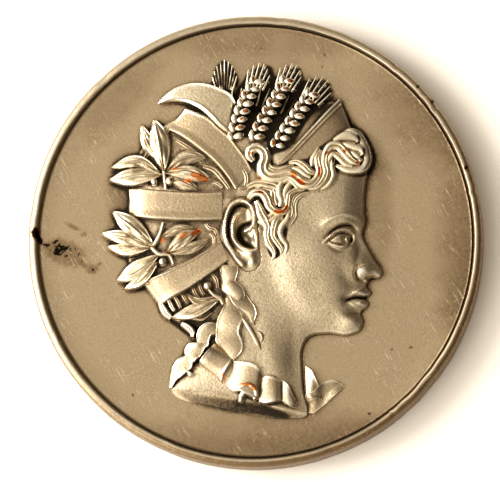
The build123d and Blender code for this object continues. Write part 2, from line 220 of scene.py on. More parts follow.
def softened(heights, spacing, reach):
    """Heights blurred by a bell curve of the given reach in millimetres."""
    columns = np.fft.fftfreq(heights.shape[1] * 2, spacing)
    rows = np.fft.fftfreq(heights.shape[0] * 2, spacing)
    bell = np.exp(-2 * (math.pi * reach) ** 2 * (rows[:, None] ** 2 + columns[None, :] ** 2))
    padded = np.pad(heights, ((0, heights.shape[0]), (0, heights.shape[1])), mode="symmetric")
    return np.real(np.fft.ifft2(np.fft.fft2(padded) * bell))[:heights.shape[0], :heights.shape[1]]


# Meshes are kept as pairs of vertices and faces until a piece is made of them

def tube_mesh(rings):
    """A closed skin over a row of rings, with its two ends capped."""
    count, around = rings.shape[:2]
    first = np.arange(count - 1)[:, None] * around + np.arange(around)[None, :]
    following = np.arange(count - 1)[:, None] * around + (np.arange(around)[None, :] + 1) % around
    quads = np.stack([first, following, following + around, first + around], axis=-1).reshape(-1, 4)
    caps = [tuple(range(around)), tuple(range((count - 1) * around, count * around))]
    return rings.reshape(-1, 3), [tuple(quad) for quad in quads.tolist()] + caps


def swept_form(left, right, heights):
    """A raised strip between its two edges, with struck sides down into the blank."""
    side = right - left
    side = side / np.maximum(np.linalg.norm(side, axis=1), 1e-6)[:, None]
    shares = np.linspace(0, 1, heights.shape[1])[None, :, None]
    tops = left[:, None, :] * (1 - shares) + right[:, None, :] * shares
    tops = np.concatenate([tops, heights[:, :, None]], axis=2)
    feet = np.full((len(left), 1), -SINK)
    left_foot = np.concatenate([left - side * SIDE_DRAFT, feet], axis=1)[:, None, :]
    right_foot = np.concatenate([right + side * SIDE_DRAFT, feet], axis=1)[:, None, :]
    return tube_mesh(np.concatenate([left_foot, tops, right_foot], axis=1))


def strip(rows, profile, spacing=0.2, columns=13, widening=1.0):
    """A strip along a line of Section rows; profile gives its relief across and along."""
    path = smooth_path(rows, spacing)
    section = Section(*path.T[:, :, None])
    half_width = section.half_width * widening
    tangent = np.gradient(path[:, :2], axis=0)
    tangent /= np.maximum(np.linalg.norm(tangent, axis=1), 1e-9)[:, None]
    normal = np.stack([-tangent[:, 1], tangent[:, 0]], axis=1) * np.maximum(half_width, 0.02)
    across = np.linspace(-1, 1, columns)[None, :]
    along = np.linspace(0, 1, len(path))[:, None]
    x = section.x - normal[:, :1] * across
    y = section.y - normal[:, 1:] * across
    heights = mound(x, y) + section.lift + profile(across, along, half_width)
    return swept_form(path[:, :2] + normal, path[:, :2] - normal, heights)


def ribbon(rows, profile, spacing, columns):
    """A strip between two edge lines, as RibbonSection rows, each with its own lift."""
    path = smooth_path(rows, spacing)
    left, right = path[:, 0:2], path[:, 2:4]
    edges = RibbonSection(*path.T[:, :, None])
    share = np.linspace(0, 1, columns)[None, :]
    along = np.linspace(0, 1, len(path))[:, None]
    x = edges.left_x * (1 - share) + edges.right_x * share
    y = edges.left_y * (1 - share) + edges.right_y * share
    lift = edges.left_lift * (1 - share) + edges.right_lift * share
    half_width = np.linalg.norm(right - left, axis=1)[:, None] / 2
    return swept_form(left, right, mound(x, y) + lift + profile(share * 2 - 1, along, half_width))


def round_ridge(across, along, half_width):
    """A ridge with a round back."""
    return 0.75 * half_width * (np.sqrt(np.maximum(1 - across ** 2, 0)) - 1)


def field_level():
    """Height of the flat field above the floor, in metres."""
    sizes = bpy.context.scene.medal_sizes
    return sizes.edge_thickness - sizes.field_depth


def raised_mesh(name, vertices, edges, faces):
    """A mesh of places in millimetres above the field."""
    places = np.array(vertices) * MM
    places[:, 2] += field_level()
    mesh = bpy.data.meshes.new(name)
    mesh.from_pydata(places.tolist(), edges, faces)
    return mesh


def add_piece(name, parts, finish, smooth_angle=50.0):
    """One object of the medal from closed meshes."""
    vertices, faces, first = [], [], 0
    for part_vertices, part_faces in parts:
        vertices.append(part_vertices)
        faces += [tuple(corner + first for corner in face) for face in part_faces]
        first += len(part_vertices)
    return finish_piece(name, raised_mesh(name, np.concatenate(vertices), [], faces), finish, smooth_angle)


def finish_piece(name, mesh, finish, smooth_angle=50.0):
    """Places a mesh, turns its faces outwards, gives it its finish and ties it to the medal's body."""
    if name != BLANK:
        mesh.transform(Matrix((
            (DRAWN_RIGHT[0], DRAWN_UP[0], 0, DRAWN_SHIFT[0] * MM),
            (DRAWN_RIGHT[1], DRAWN_UP[1], 0, DRAWN_SHIFT[1] * MM),
            (0, 0, 1, 0),
            (0, 0, 0, 1),
        )))
    work = bmesh.new()
    work.from_mesh(mesh)
    bmesh.ops.remove_doubles(work, verts=work.verts, dist=1e-7)
    bmesh.ops.recalc_face_normals(work, faces=work.faces)
    work.to_mesh(mesh)
    work.free()
    mesh.shade_smooth()
    mesh.set_sharp_from_angle(angle=math.radians(smooth_angle))
    mesh.materials.clear()
    mesh.materials.append(finish)
    piece = bpy.data.objects.new(name, mesh)
    piece["struck"] = True
    bpy.context.scene.collection.objects.link(piece)
    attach(piece, BODY)
    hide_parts(NODE)
    return piece


# Node trees, of finishes and of what repeats

class Level:
    """A node's output, a number or a colour over a surface, written as an expression."""

    def __init__(self, work, socket):
        self.work = work
        self.socket = socket

    def calculate(self, operation, first, second):
        return self.work.node("ShaderNodeMath", {"operation": operation}, {0: first, 1: second})

    def __add__(self, other):
        return self.calculate("ADD", self, other)

    def __sub__(self, other):
        return self.calculate("SUBTRACT", self, other)

    def __rsub__(self, other):
        return self.calculate("SUBTRACT", other, self)

    def __mul__(self, other):
        return self.calculate("MULTIPLY", self, other)

    __radd__ = __add__
    __rmul__ = __mul__

    def at_least(self, lowest):
        """The number, or the lowest one allowed."""
        return self.calculate("MAXIMUM", self, lowest)

    def between(self, low, high):
        """0 below low, 1 above high, with soft ends."""
        return self.work.node(
            "ShaderNodeMapRange", {"interpolation_type": "SMOOTHSTEP", "clamp": True},
            {"Value": self, "From Min": low, "From Max": high},
        )

    def beside(self, name):
        """Another output of the same node."""
        return Level(self.work, self.socket.node.outputs[name])


class NodeWork:
    """A node tree while it is put together."""

    def __init__(self, tree):
        self.tree = tree
        tree.nodes.clear()

    def node(self, kind, settings, sockets, output=0):
        """A node with its settings made first, then its sockets given a value or a link."""
        made = self.tree.nodes.new(kind)
        for setting, value in settings.items():
            setattr(made, setting, value)
        for socket, value in sockets.items():
            if isinstance(value, Level):
                self.tree.links.new(value.socket, made.inputs[socket])
            else:
                made.inputs[socket].default_value = value
        return Level(self, made.outputs[output]) if made.outputs else None

    def mix(self, share, first, second):
        """A colour between two others."""
        as_colour = [value if isinstance(value, Level) else (*value, 1.0) for value in (first, second)]
        return self.node(
            "ShaderNodeMix", {"data_type": "RGBA", "clamp_factor": True},
            {0: share, 6: as_colour[0], 7: as_colour[1]}, 2,
        )

    def vector(self, operation, sockets):
        """A node of vector maths."""
        return self.node("ShaderNodeVectorMath", {"operation": operation}, sockets)


class Finish(NodeWork):
    """A node material while it is put together."""

    def __init__(self, name):
        self.material = bpy.data.materials.new(name)
        self.material.use_nodes = True
        super().__init__(self.material.node_tree)
        self.place = self.node("ShaderNodeTexCoord", {}, {}, "Object")

    def noise(self, scale, detail, stretch=(1.0, 1.0, 1.0), turn=0.0):
        """Cloudy noise, scale in waves to the millimetre, stretched and turned about Z."""
        place = self.node("ShaderNodeMapping", {"vector_type": "TEXTURE"}, {
            "Vector": self.place, "Rotation": (0.0, 0.0, math.radians(turn)), "Scale": stretch,
        })
        return self.node("ShaderNodeTexNoise", {}, {
            "Vector": place, "Scale": scale / MM, "Detail": detail, "Roughness": NOISE_ROUGHNESS,
        })

    def attribute(self, name):
        """A number stored on the mesh."""
        return self.node("ShaderNodeAttribute", {"attribute_name": name}, {}, "Fac")

    def surface(self, base, metallic, roughness, bumps):
        """Ends the material; bumps is a row of heights in millimetres with their strengths."""
        sockets = {"Base Color": base, "Metallic": metallic, "Roughness": roughness}
        for height, depth in bumps:
            below = {"Normal": sockets["Normal"]} if "Normal" in sockets else {}
            sockets["Normal"] = self.node("ShaderNodeBump", {}, {
                "Height": height, "Distance": depth * MM, "Strength": 1.0, **below,
            })
        shader = self.node("ShaderNodeBsdfPrincipled", {}, sockets)
        self.node("ShaderNodeOutputMaterial", {}, {"Surface": shader})
        return self.material


class Growth(NodeWork):
    """A geometry tree while it is put together; its inputs are given as (name, kind, default)."""

    def __init__(self, name, inputs):
        tree = bpy.data.node_groups.new(name, "GeometryNodeTree")
        tree.is_modifier = True
        super().__init__(tree)
        tree.interface.new_socket(name="Geometry", in_out="OUTPUT", socket_type="NodeSocketGeometry")
        tree.interface.new_socket(name="Geometry", in_out="INPUT", socket_type="NodeSocketGeometry")
        for label, kind, default in inputs:
            tree.interface.new_socket(name=label, in_out="INPUT", socket_type=kind).default_value = default
        self.given = self.node("NodeGroupInput", {}, {}).beside

    def named(self, name):
        """A number stored on each place."""
        kind = "GeometryNodeInputNamedAttribute"
        return self.node(kind, {"data_type": "FLOAT"}, {"Name": name}, "Attribute")

    def placed(self, points, instance, **how):
        """The instance on every place; how may hold its Rotation and its Scale."""
        return self.node("GeometryNodeInstanceOnPoints", {}, {"Points": points, "Instance": instance, **how})

    def close(self, geometry, finish):
        """Ends the tree with real geometry that wears the finish."""
        real = self.node("GeometryNodeRealizeInstances", {}, {"Geometry": geometry})
        dressed = self.node("GeometryNodeSetMaterial", {}, {"Geometry": real, "Material": finish})
        self.node("NodeGroupOutput", {}, {"Geometry": dressed})
        return self.tree


NOISE_ROUGHNESS = 0.55
# How each finish is worn: shine of its high points, depth of its grain in millimetres, scratches,
# lightness of its silver, bronze bared on its high points, and specks
# The shine of the high points is worn brightness and a painted highlight
Wear = namedtuple("Wear", "shine grain_depth scratches lightness bared specks")
WEAR = {
    "field": Wear(0.3, 0.006, 0.62, 0.0, 0.0, 0.16),
    "face": Wear(0.8, 0.030, 0.3, 0.42, 0.0, 0.35),
    "ear": Wear(0.9, 0.012, 0.0, 0.5, 0.0, 0.0),
    "hair": Wear(1.0, 0.008, 0.0, 0.85, 0.35, 0.2),
    "waves": Wear(0.7, 0.010, 0.0, 0.2, 0.0, 0.2),
    "bands": Wear(0.6, 0.024, 0.2, 0.0, 0.0, 0.25),
    "blade": Wear(0.7, 0.030, 0.2, 0.6, 0.0, 0.3),
    "laurel": Wear(0.75, 0.020, 0.15, 0.42, 0.12, 0.35),
    "wheat": Wear(1.0, 0.004, 0.0, 1.0, 0.0, 0.0),
    "stems": Wear(0.5, 0.006, 0.0, 0.0, 0.0, 0.0),
    "tails": Wear(0.6, 0.022, 0.15, 0.14, 0.12, 0.3),
}


def worn_silver(part):
    """Worn silver plate on bronze: tarnish and painted shade in the recesses, worn bright with painted
    highlights on what stands proud.
    """
    colours = bpy.context.scene.medal_colours
    worn = WEAR[part]
    finish = Finish("plating_of_the_" + part)
    hollow, proud, bare, stain_and_shade = (finish.attribute(name) for name in ("hollow", "proud", "bare", "stain_and_shade"))
    cloud = finish.noise(0.22, detail=4.0)
    fleck = finish.noise(2.4, detail=3.0)
    grain = finish.noise(5.0, detail=2.0)
    patches = finish.noise(1.4, detail=4.0)
    streaks = finish.noise(5.0, detail=2.0, stretch=(1.0, 15.0, 1.0), turn=30.0)
    cross_streaks = finish.noise(7.0, detail=1.0, stretch=(1.0, 5.0, 1.0), turn=-48.0)

    # Silver with clouds, specks and high points worn bright, with a painted highlight on them
    plain = finish.mix(worn.lightness, colours.plating, colours.satin)
    darker = finish.mix(worn.lightness, tuple(0.7 * value for value in colours.plating), colours.plating)
    base = finish.mix((cloud * 0.6 + fleck * 0.4).between(0.36, 0.68) * 0.5, plain, darker)
    base = finish.mix(grain.between(0.50, 0.72) * worn.specks, base, colours.polished_and_highlight)
    base = finish.mix(fleck.between(0.56, 0.72) * worn.specks * 1.4, base, colours.brown_tarnish_and_shade)
    # High points worn bright, and a painted highlight on them
    rubbed_and_highlit = (proud * 1.25 + fleck * 0.5 - 0.5).between(0.10, 0.66)
    base = finish.mix(rubbed_and_highlit * worn.shine, base, colours.polished_and_highlight)

    # Brown and dark tarnish with painted shade in the recesses, bronze where the plating is gone, the stains
    # with the rim wall's painted shade, and the scratches
    warm = (hollow * 1.5 + cloud * 0.5 - 0.42).between(0.0, 0.62)
    base = finish.mix(warm * 0.8, base, colours.brown_tarnish_and_shade)
    # Dark tarnish and painted shade in the recesses
    dark = (hollow + fleck * 0.25 - 0.12).between(0.30, 0.70)
    base = finish.mix(dark, base, colours.tarnish_and_shade)
    worn_through = proud.between(0.35, 0.9) * worn.bared * finish.noise(0.5, detail=1.0).between(0.40, 0.60)
    bronze = (bare * 0.95 + worn_through + patches * 1.1 - 0.78).between(0.38, 0.52)
    base = finish.mix(bronze, base, colours.bare_bronze)
    # Stains, and the rim wall's painted shade in the same brown and black
    smudge = (stain_and_shade * 1.5 + patches * 0.8 - 0.55).between(0.0, 0.6)
    base = finish.mix(smudge * 0.75, base, colours.brown_tarnish_and_shade)
    blot = (stain_and_shade + patches * 1.1 + fleck * 1.1 - 1.45).between(0.28, 0.46)
    base = finish.mix(blot, base, colours.stain_and_shade)
    lines = streaks.between(0.59, 0.72) + cross_streaks.between(0.60, 0.74) * 0.6
    lines = lines * cloud.between(0.44, 0.62)
    base = finish.mix(lines * worn.scratches * (1.0 - dark) * (1.0 - blot), base, colours.satin)

    rough = 0.43 + (fleck - 0.5) * 0.22 + (cloud - 0.5) * 0.15 + dark * 0.3
    rough = rough - rubbed_and_highlit * 0.2 * worn.shine + blot * 0.2 - bronze * 0.12
    bumps = [(grain, worn.grain_depth), (fleck, worn.grain_depth * 1.6)]
    return finish.surface(base, 1.0 - dark * 0.15, rough, bumps)


# Blank: one outline from the middle of the obverse round to the middle of the reverse

FIELD_EDGE = 2.05
FIELD_CURVE_REACH = 2.8
FIELD_CURVE_RISE = 0.07
RIM_SEGMENTS = 600
# Each ring's reach beyond the field's edge or within the disc's edge, its height, and how much wear
# and dents move it. Heights count up from the field, down from the rim's top and up from the floor.
RINGS_ABOVE_FIELD = (
    (0.20, 0.075, 0.0), (0.26, 0.085, 0.1), (0.32, 0.13, 0.2), (0.39, 0.17, 0.3), (0.46, 0.12, 0.2),
    (0.53, 0.03, 0.1), (0.60, -0.02, 0.1), (0.66, 0.05, 0.2), (0.71, 0.22, 0.4), (0.77, 0.44, 0.6),
)
RINGS_BELOW_RIM = (
    (0.83, 0.28, 0.9), (0.90, 0.16, 1.0), (0.98, 0.10, 1.0), (1.08, 0.08, 1.0), (1.20, 0.08, 1.0),
    (1.36, 0.10, 1.0), (1.52, 0.15, 1.0), (1.68, 0.22, 1.0), (1.82, 0.36, 1.0), (1.94, 0.55, 0.9),
    (2.02, 0.8, 0.8),
)
RINGS_OF_WALL = ((1.15, 0.6), (1.6, 0.5))
RINGS_ABOVE_FLOOR = (
    (0.0, 1.6, 0.5), (0.0, 0.6, 0.6), (0.08, 0.3, 0.7), (0.28, 0.1, 0.6), (0.55, 0.0, 0.0), (1.0, 0.0, 0.0),
    (1.6, 0.0, 0.0), (1.75, 0.12, 0.0),
)
# Dents of the rim: the angle from +X, the half angle that it spans and how deep it goes
Dent = namedtuple("Dent", "angle half_angle depth")
RIM_DENTS = table(Dent, (
    (36, 1.0, 0.14), (41, 0.8, 0.1), (51, 1.2, 0.07), (60, 1.2, 0.07), (84, 1.2, 0.06), (-34, 2.0, 0.12),
    (-40, 2.6, 0.18), (-48, 1.8, 0.16), (-70, 2.2, 0.08), (12, 0.7, 0.12), (-52, 0.6, 0.16),
    (133, 2.0, 0.07), (171, 2.4, 0.1), (205, 1.4, 0.07), (246, 2.4, 0.08),
))
# Ripples of the rim: depth, count around and start
RIM_RIPPLES = ((0.03, 7, 1), (0.02, 19, 0), (0.012, 53, 2))


def blank_outline(sizes):
    """Radius and height above the field of each ring, and how much that ring is worn or dented."""
    radius = sizes.diameter / 2 / MM
    rim = sizes.field_depth / MM
    floor = -(sizes.edge_thickness - sizes.field_depth) / MM
    back = floor + sizes.reverse_depth / MM
    field = radius - FIELD_EDGE
    curve = field - FIELD_CURVE_REACH
    rings = [(reach, 0.0, 0.0) for reach in np.linspace(0.4, 9.0, 8)]
    rings += [(reach, 0.0, 0.0) for reach in np.linspace(9.4, field - 3.0, 80)]
    for reach in np.linspace(curve, field, 12):
        rings.append((reach, FIELD_CURVE_RISE * ((reach - curve) / FIELD_CURVE_REACH) ** 2, 0.0))
    rings += [(field + beyond, height, worn) for beyond, height, worn in RINGS_ABOVE_FIELD]
    rings += [(field + beyond, rim - drop, worn) for beyond, drop, worn in RINGS_BELOW_RIM]
    rings += [(radius, rim - drop, worn) for drop, worn in RINGS_OF_WALL]
    rings += [(radius - within, floor + height, worn) for within, height, worn in RINGS_ABOVE_FLOOR]
    rings += [(radius - 2.05, back - 0.1, 0.0), (radius - 2.2, back, 0.0)]
    rings += [(reach, back, 0.0) for reach in np.linspace(radius - 3.2, 0.4, 14)]
    return np.array(rings)


def blank_mesh(sizes):
    """The disc with its rims, the rim a little uneven from wear."""
    reach, height, worn = blank_outline(sizes).T[:, :, None]
    angles = np.linspace(0, 2 * math.pi, RIM_SEGMENTS, endpoint=False)
    unevenness = sum(depth * np.sin(angles * count + start) for depth, count, start in RIM_RIPPLES)
    for dent in RIM_DENTS:
        away = (np.degrees(angles) - dent.angle + 180) % 360 - 180
        unevenness = unevenness - dent.depth * line(away, 0, dent.half_angle)
    wear = np.minimum(unevenness, 0.0)[None, :] * worn
    height = height + np.where(height > 0, wear * 0.5, 0)
    reach = reach + wear
    return tube_mesh(np.stack([reach * np.cos(angles), reach * np.sin(angles), height], axis=-1))


class MEDAL_OT_make_blank(bpy.types.Operator):
    """Make the blank: field, bead, rims, side wall and plain reverse"""

    bl_idname = "medal.make_blank"
    bl_label = "Blank"

    def execute(self, context):
        add_piece(BLANK, [blank_mesh(context.scene.medal_sizes)], worn_silver("field"), smooth_angle=35.0)
        return {"FINISHED"}


# Head and neck: one mesh of heights over a grid

HEAD_STEP = 0.3
HEAD_SHOULDER = 7.5
HEAD_SOFTENING = 0.45
HEAD_OUTLINE = (
    (17.2, 15.0), (18.4, 12.0), (18.0, 9.8), (17.5, 7.0), (17.4, 4.0), (17.5, 1.6), (17.1, 0.1),
    (17.9, -1.9), (19.2, -4.3), (20.1, -5.7), (19.8, -6.6), (18.0, -7.1), (17.7, -7.9), (18.4, -8.8),
    (18.1, -9.4), (17.4, -9.75), (18.0, -10.3), (17.8, -11.1), (16.8, -11.9), (17.2, -13.2), (16.7, -14.6),
    (14.9, -15.4), (11.5, -15.1), (8.8, -15.6), (7.9, -17.2), (7.8, -20.0), (8.0, -23.5), (8.5, -27.5),
    (5.0, -27.8), (0.0, -27.1), (-4.0, -26.1), (-7.2, -25.3), (-10.3, -24.6), (-12.2, -23.3),
    (-9.5, -19.5), (-7.2, -16.0), (-8.5, -13.8), (-10.8, -13.2), (-13.6, -10.8), (-16.0, -7.6),
    (-18.3, -5.0), (-19.2, -2.0), (-19.1, 3.0), (-18.7, 8.0), (-18.0, 12.0), (-16.3, 15.5), (-12.7, 18.4),
    (-8.0, 20.0), (-3.0, 19.8), (3.5, 19.8), (9.0, 20.5), (13.2, 20.5), (14.5, 17.5),
)
# The face's own plate from the hairline down the profile, along the jaw and up before the ear
FACE_PLATE = (
    (20.5, 13.0), (20.5, 0.0), (24.0, -6.0), (21.0, -12.0), (19.5, -16.5), (15.2, -15.6), (12.2, -14.9),
    (9.2, -13.6), (6.2, -11.8), (4.2, -9.6), (2.8, -7.0), (2.2, -4.0), (2.0, 2.0), (2.0, 13.0),
)
FACE_PLATE_RISE = 0.4
FACE_PLATE_SHOULDER = 4.0
FACE_PLATE_MARGIN = 3.5
# Swellings and hollows: middle, reach across and along, turn in degrees, rise
Swelling = namedtuple("Swelling", "x y reach_x reach_y turn rise")
FACE_SWELLINGS = table(Swelling, (
    (14.2, 5.0, 3.0, 3.4, 0, 0.12), (14.2, 2.15, 2.7, 0.8, 6, 0.34), (16.7, 0.9, 0.8, 1.0, 0, 0.12),
    (13.9, -0.5, 2.0, 1.35, 0, -0.62), (13.6, -0.55, 1.45, 1.05, 0, 0.8),
    (13.95, -0.62, 0.22, 0.26, 0, -0.16), (16.6, -1.9, 0.8, 1.5, 35, -0.1),
    (9.8, -3.6, 3.8, 3.0, 20, 0.34), (9.4, 1.8, 2.4, 2.0, 0, -0.16), (17.35, -5.85, 1.15, 1.0, 0, 0.62),
    (19.1, -5.75, 0.9, 0.8, 0, 0.2), (14.7, -7.2, 1.0, 2.2, 25, -0.2), (12.2, -8.6, 2.6, 2.4, 0, 0.12),
    (16.8, -9.0, 1.25, 0.5, -8, 0.42), (16.7, -10.55, 1.1, 0.55, 4, 0.5),
    (14.5, -9.95, 0.75, 0.7, 0, -0.34), (16.0, -12.1, 1.3, 0.5, 0, -0.34),
    (15.4, -13.6, 1.6, 1.3, 0, 0.36), (9.0, -11.6, 3.2, 1.6, -25, 0.18), (3.4, -19.0, 1.6, 6.5, 12, 0.2),
    (6.4, -18.2, 1.2, 4.0, 0, -0.22), (-1.0, -20.5, 2.4, 4.5, 0, 0.08),
))
# Creases and ridges drawn over the head, as Section rows
CREASES = (
    ((16.9, 1.9, 0.3, 0.08), (15.9, 2.6, 0.34, 0.28), (14.3, 2.95, 0.36, 0.32), (12.5, 2.45, 0.34, 0.24),
        (11.0, 1.5, 0.3, 0.08)),
    ((16.0, 0.75, 0.2, -0.12), (15.2, 1.25, 0.22, -0.44), (13.8, 1.25, 0.24, -0.52),
        (12.4, 0.55, 0.22, -0.44), (11.3, -0.6, 0.2, -0.16)),
    ((15.6, 0.15, 0.18, 0.12), (14.8, 0.62, 0.2, 0.46), (13.5, 0.55, 0.22, 0.5), (12.3, -0.15, 0.2, 0.42),
        (11.1, -1.3, 0.18, 0.12)),
    ((15.0, -0.02, 0.14, -0.2), (14.2, 0.12, 0.15, -0.42), (13.3, 0.0, 0.15, -0.42),
        (12.4, -0.62, 0.14, -0.36), (11.8, -1.15, 0.13, -0.15)),
    ((14.8, -1.6, 0.18, 0.2), (13.9, -1.95, 0.19, 0.38), (12.9, -1.8, 0.18, 0.34),
        (12.0, -1.4, 0.15, 0.12)),
    ((14.5, -1.28, 0.13, -0.14), (13.8, -1.58, 0.14, -0.3), (12.9, -1.45, 0.13, -0.28),
        (12.3, -1.2, 0.13, -0.1)),
    ((14.9, -2.25, 0.24, -0.1), (13.7, -2.65, 0.26, -0.24), (12.2, -2.1, 0.24, -0.1)),
    ((14.72, -0.1, 0.14, -0.14), (14.3, -0.4, 0.15, -0.38), (14.22, -0.85, 0.15, -0.38),
        (14.5, -1.25, 0.14, -0.14)),
    ((15.3, -0.2, 0.22, -0.26), (15.25, -0.8, 0.26, -0.55), (15.0, -1.5, 0.24, -0.3)),
    ((16.1, -1.2, 0.5, -0.06), (16.4, -2.8, 0.55, -0.14), (16.0, -4.4, 0.4, -0.08)),
    ((17.4, -4.75, 0.22, -0.1), (16.3, -5.05, 0.24, -0.38), (15.9, -6.0, 0.24, -0.5),
        (16.35, -6.95, 0.22, -0.44), (17.2, -7.2, 0.2, -0.18)),
    ((17.6, -6.78, 0.2, -0.28), (18.4, -6.65, 0.22, -0.52), (19.0, -6.6, 0.18, -0.26)),
    ((18.4, -9.62, 0.18, -0.25), (17.2, -9.78, 0.19, -0.75), (16.0, -9.68, 0.2, -0.7),
        (15.0, -9.9, 0.22, -0.5), (14.4, -10.2, 0.24, -0.18)),
    ((18.0, -8.55, 0.15, 0.05), (17.2, -8.35, 0.16, 0.18), (16.2, -8.75, 0.16, 0.2),
        (15.0, -9.5, 0.15, 0.06)),
    ((17.7, -11.15, 0.15, 0.04), (16.8, -11.3, 0.17, 0.14), (15.8, -10.95, 0.17, 0.14),
        (14.9, -10.35, 0.15, 0.04)),
    ((-8.6, -23.6, 0.3, 0.1), (-4.0, -24.4, 0.3, 0.2), (1.0, -25.4, 0.3, 0.22), (6.0, -26.6, 0.3, 0.2),
        (8.2, -27.0, 0.25, 0.1)),
)
# The sloping cut below the neck: its upper edge, from the back to the throat
TRUNCATION = (
    (-13.5, -22.8), (-9.4, -23.0), (-3.9, -23.9), (1.0, -25.2), (5.0, -26.4), (10.0, -27.6),
)
TRUNCATION_DROP = 0.85
TRUNCATION_REACH = 4.0
# The ear: its outline, then its folds and hollows as Section rows above the plate of the ear
EAR_OUTLINE = (
    (1.1, 1.2), (1.3, 2.6), (1.15, 4.1), (0.6, 5.3), (-0.4, 6.1), (-1.7, 6.2), (-3.0, 5.6), (-3.9, 4.4),
    (-4.4, 2.8), (-4.8, 1.2), (-4.75, -0.3), (-4.1, -1.5), (-3.3, -2.6), (-2.6, -3.7), (-1.7, -4.8),
    (-0.6, -5.4), (0.6, -5.3), (1.4, -4.4), (1.6, -3.2), (1.3, -2.0), (1.25, -0.6),
)
EAR_FORMS = (
    ((-0.9, 0.75, 0.26, 0.2), (-0.2, 1.1, 0.32, 0.5), (0.4, 1.8, 0.36, 0.75), (0.5, 2.7, 0.38, 0.9),
        (0.3, 3.9, 0.38, 0.95), (-0.4, 5.0, 0.38, 1.0), (-1.6, 5.5, 0.42, 1.05), (-2.8, 4.9, 0.42, 1.05),
        (-3.6, 3.5, 0.44, 1.05), (-4.0, 1.9, 0.44, 1.0), (-4.05, 0.3, 0.44, 0.95), (-3.6, -1.1, 0.46, 0.9),
        (-2.9, -2.4, 0.5, 0.8), (-2.1, -3.5, 0.55, 0.7), (-1.3, -4.3, 0.55, 0.5)),
    ((-0.4, 4.4, 0.22, -0.3), (-1.4, 4.8, 0.24, -0.5), (-2.3, 4.6, 0.26, -0.55), (-3.1, 3.5, 0.28, -0.6),
        (-3.45, 1.9, 0.28, -0.6), (-3.4, 0.2, 0.28, -0.5), (-2.9, -1.3, 0.26, -0.4),
        (-2.3, -2.3, 0.22, -0.2)),
    ((-1.3, 4.1, 0.34, 0.4), (-2.2, 3.4, 0.38, 0.75), (-2.75, 2.2, 0.38, 0.9), (-2.85, 0.9, 0.38, 0.9),
        (-2.7, -0.2, 0.38, 0.85), (-2.0, -1.2, 0.42, 0.75), (-1.1, -2.0, 0.44, 0.65),
        (-0.1, -2.5, 0.44, 0.55), (0.8, -2.2, 0.4, 0.5)),
    ((-0.9, 3.7, 0.45, -0.15), (-0.7, 2.8, 0.45, -0.2)),
    ((-0.3, 2.0, 0.35, -0.8), (-1.2, 1.75, 0.45, -1.0), (-1.8, 0.9, 0.45, -1.2), (-1.75, -0.1, 0.5, -1.3),
        (-1.1, -1.0, 0.5, -1.2), (-0.2, -1.5, 0.35, -0.9), (0.3, -1.8, 0.22, -0.5)),
    ((-0.9, 0.0, 0.5, -0.7), (-0.4, -0.6, 0.45, -0.7)),
    ((0.6, 0.9, 0.35, 0.3), (0.75, 0.1, 0.42, 0.6), (0.9, -0.8, 0.42, 0.6), (1.1, -1.6, 0.35, 0.35)),
    ((-0.9, -3.2, 0.7, 0.35), (0.1, -3.3, 0.8, 0.5), (0.3, -4.0, 0.6, 0.4)),
)
EAR_PLATE = 0.05
EAR_FOOT = 0.35
EAR_GRID = 0.085
# How steeply and how far the head gives way below the ear
EAR_BED_SLOPE = 3
EAR_BED_DEPTH = 1.3


def rounded_minimum(first, second):
    """The lower of two heights, with the corner between them rounded."""
    overlap = np.clip(0.5 + (second - first) / (2 * EDGE_ROUNDING), 0, 1)
    return second * (1 - overlap) + first * overlap - EDGE_ROUNDING * overlap * (1 - overlap)


def drawn_crease(x, y, rows):
    """A soft ridge or groove along a line, over the part of a grid that it can reach."""
    path = smooth_path(rows, 0.12)
    crease = Section(*path.T)
    margin = 3 * crease.half_width.max()
    near = (x > crease.x.min() - margin) & (x < crease.x.max() + margin)
    near &= (y > crease.y.min() - margin) & (y < crease.y.max() + margin)
    away = np.hypot(x[near][:, None] - crease.x, y[near][:, None] - crease.y)
    nearest = away.argmin(axis=1)
    height = np.zeros(x.shape)
    height[near] = crease.lift[nearest] * line(away.min(axis=1), 0, crease.half_width[nearest])
    return height


def head_heights(spacing):
    """Grid places and heights of the head and neck."""
    x, y = np.meshgrid(np.arange(-21, 22, spacing), np.arange(-29.5, 22, spacing), indexing="ij")
    inside = outline_distance(x, y, closed_path(HEAD_OUTLINE, 0.35))
    shoulder = np.clip(inside / HEAD_SHOULDER, 0, 1)
    dome = mound(x, y) * (HEAD_STEP + (1 - HEAD_STEP) * np.sqrt(1 - (1 - shoulder) ** 2))
    solid = (inside > 0).astype(float)
    cover = np.maximum(softened(solid, spacing, HEAD_SOFTENING), 0.05)
    dome = softened(dome * solid, spacing, HEAD_SOFTENING) / cover
    plate = smooth_step(outline_distance(x, y, closed_path(FACE_PLATE, 0.5)) / FACE_PLATE_SHOULDER)
    dome = dome + FACE_PLATE_RISE * plate * smooth_step(inside / FACE_PLATE_MARGIN)
    for form in FACE_SWELLINGS:
        dome = dome + form.rise * np.exp(-oval_distance(x, y, form))
    for rows in CREASES:
        dome = dome + drawn_crease(x, y, rows)
    cut = smooth_path(TRUNCATION, 0.5)
    below = np.interp(x, cut[:, 0], cut[:, 1]) - y
    depth = np.clip(np.minimum(inside + below, TRUNCATION_REACH), 0.3, TRUNCATION_REACH)
    dome = np.where(below > 0, dome * (1 - TRUNCATION_DROP * np.clip(below / depth, 0, 1)), dome)
    heights = np.maximum(rounded_minimum(dome, SIDE_SLOPE * inside), -SINK)
    x, y, heights = drawn_to_outline(x, y, heights, inside, spacing)
    below_ear = outline_distance(x, y, EAR_OUTLINE)
    bedded = heights - np.minimum(below_ear * EAR_BED_SLOPE, EAR_BED_DEPTH)
    return x, y, np.where((heights > 0) & (below_ear > 0), bedded, heights)


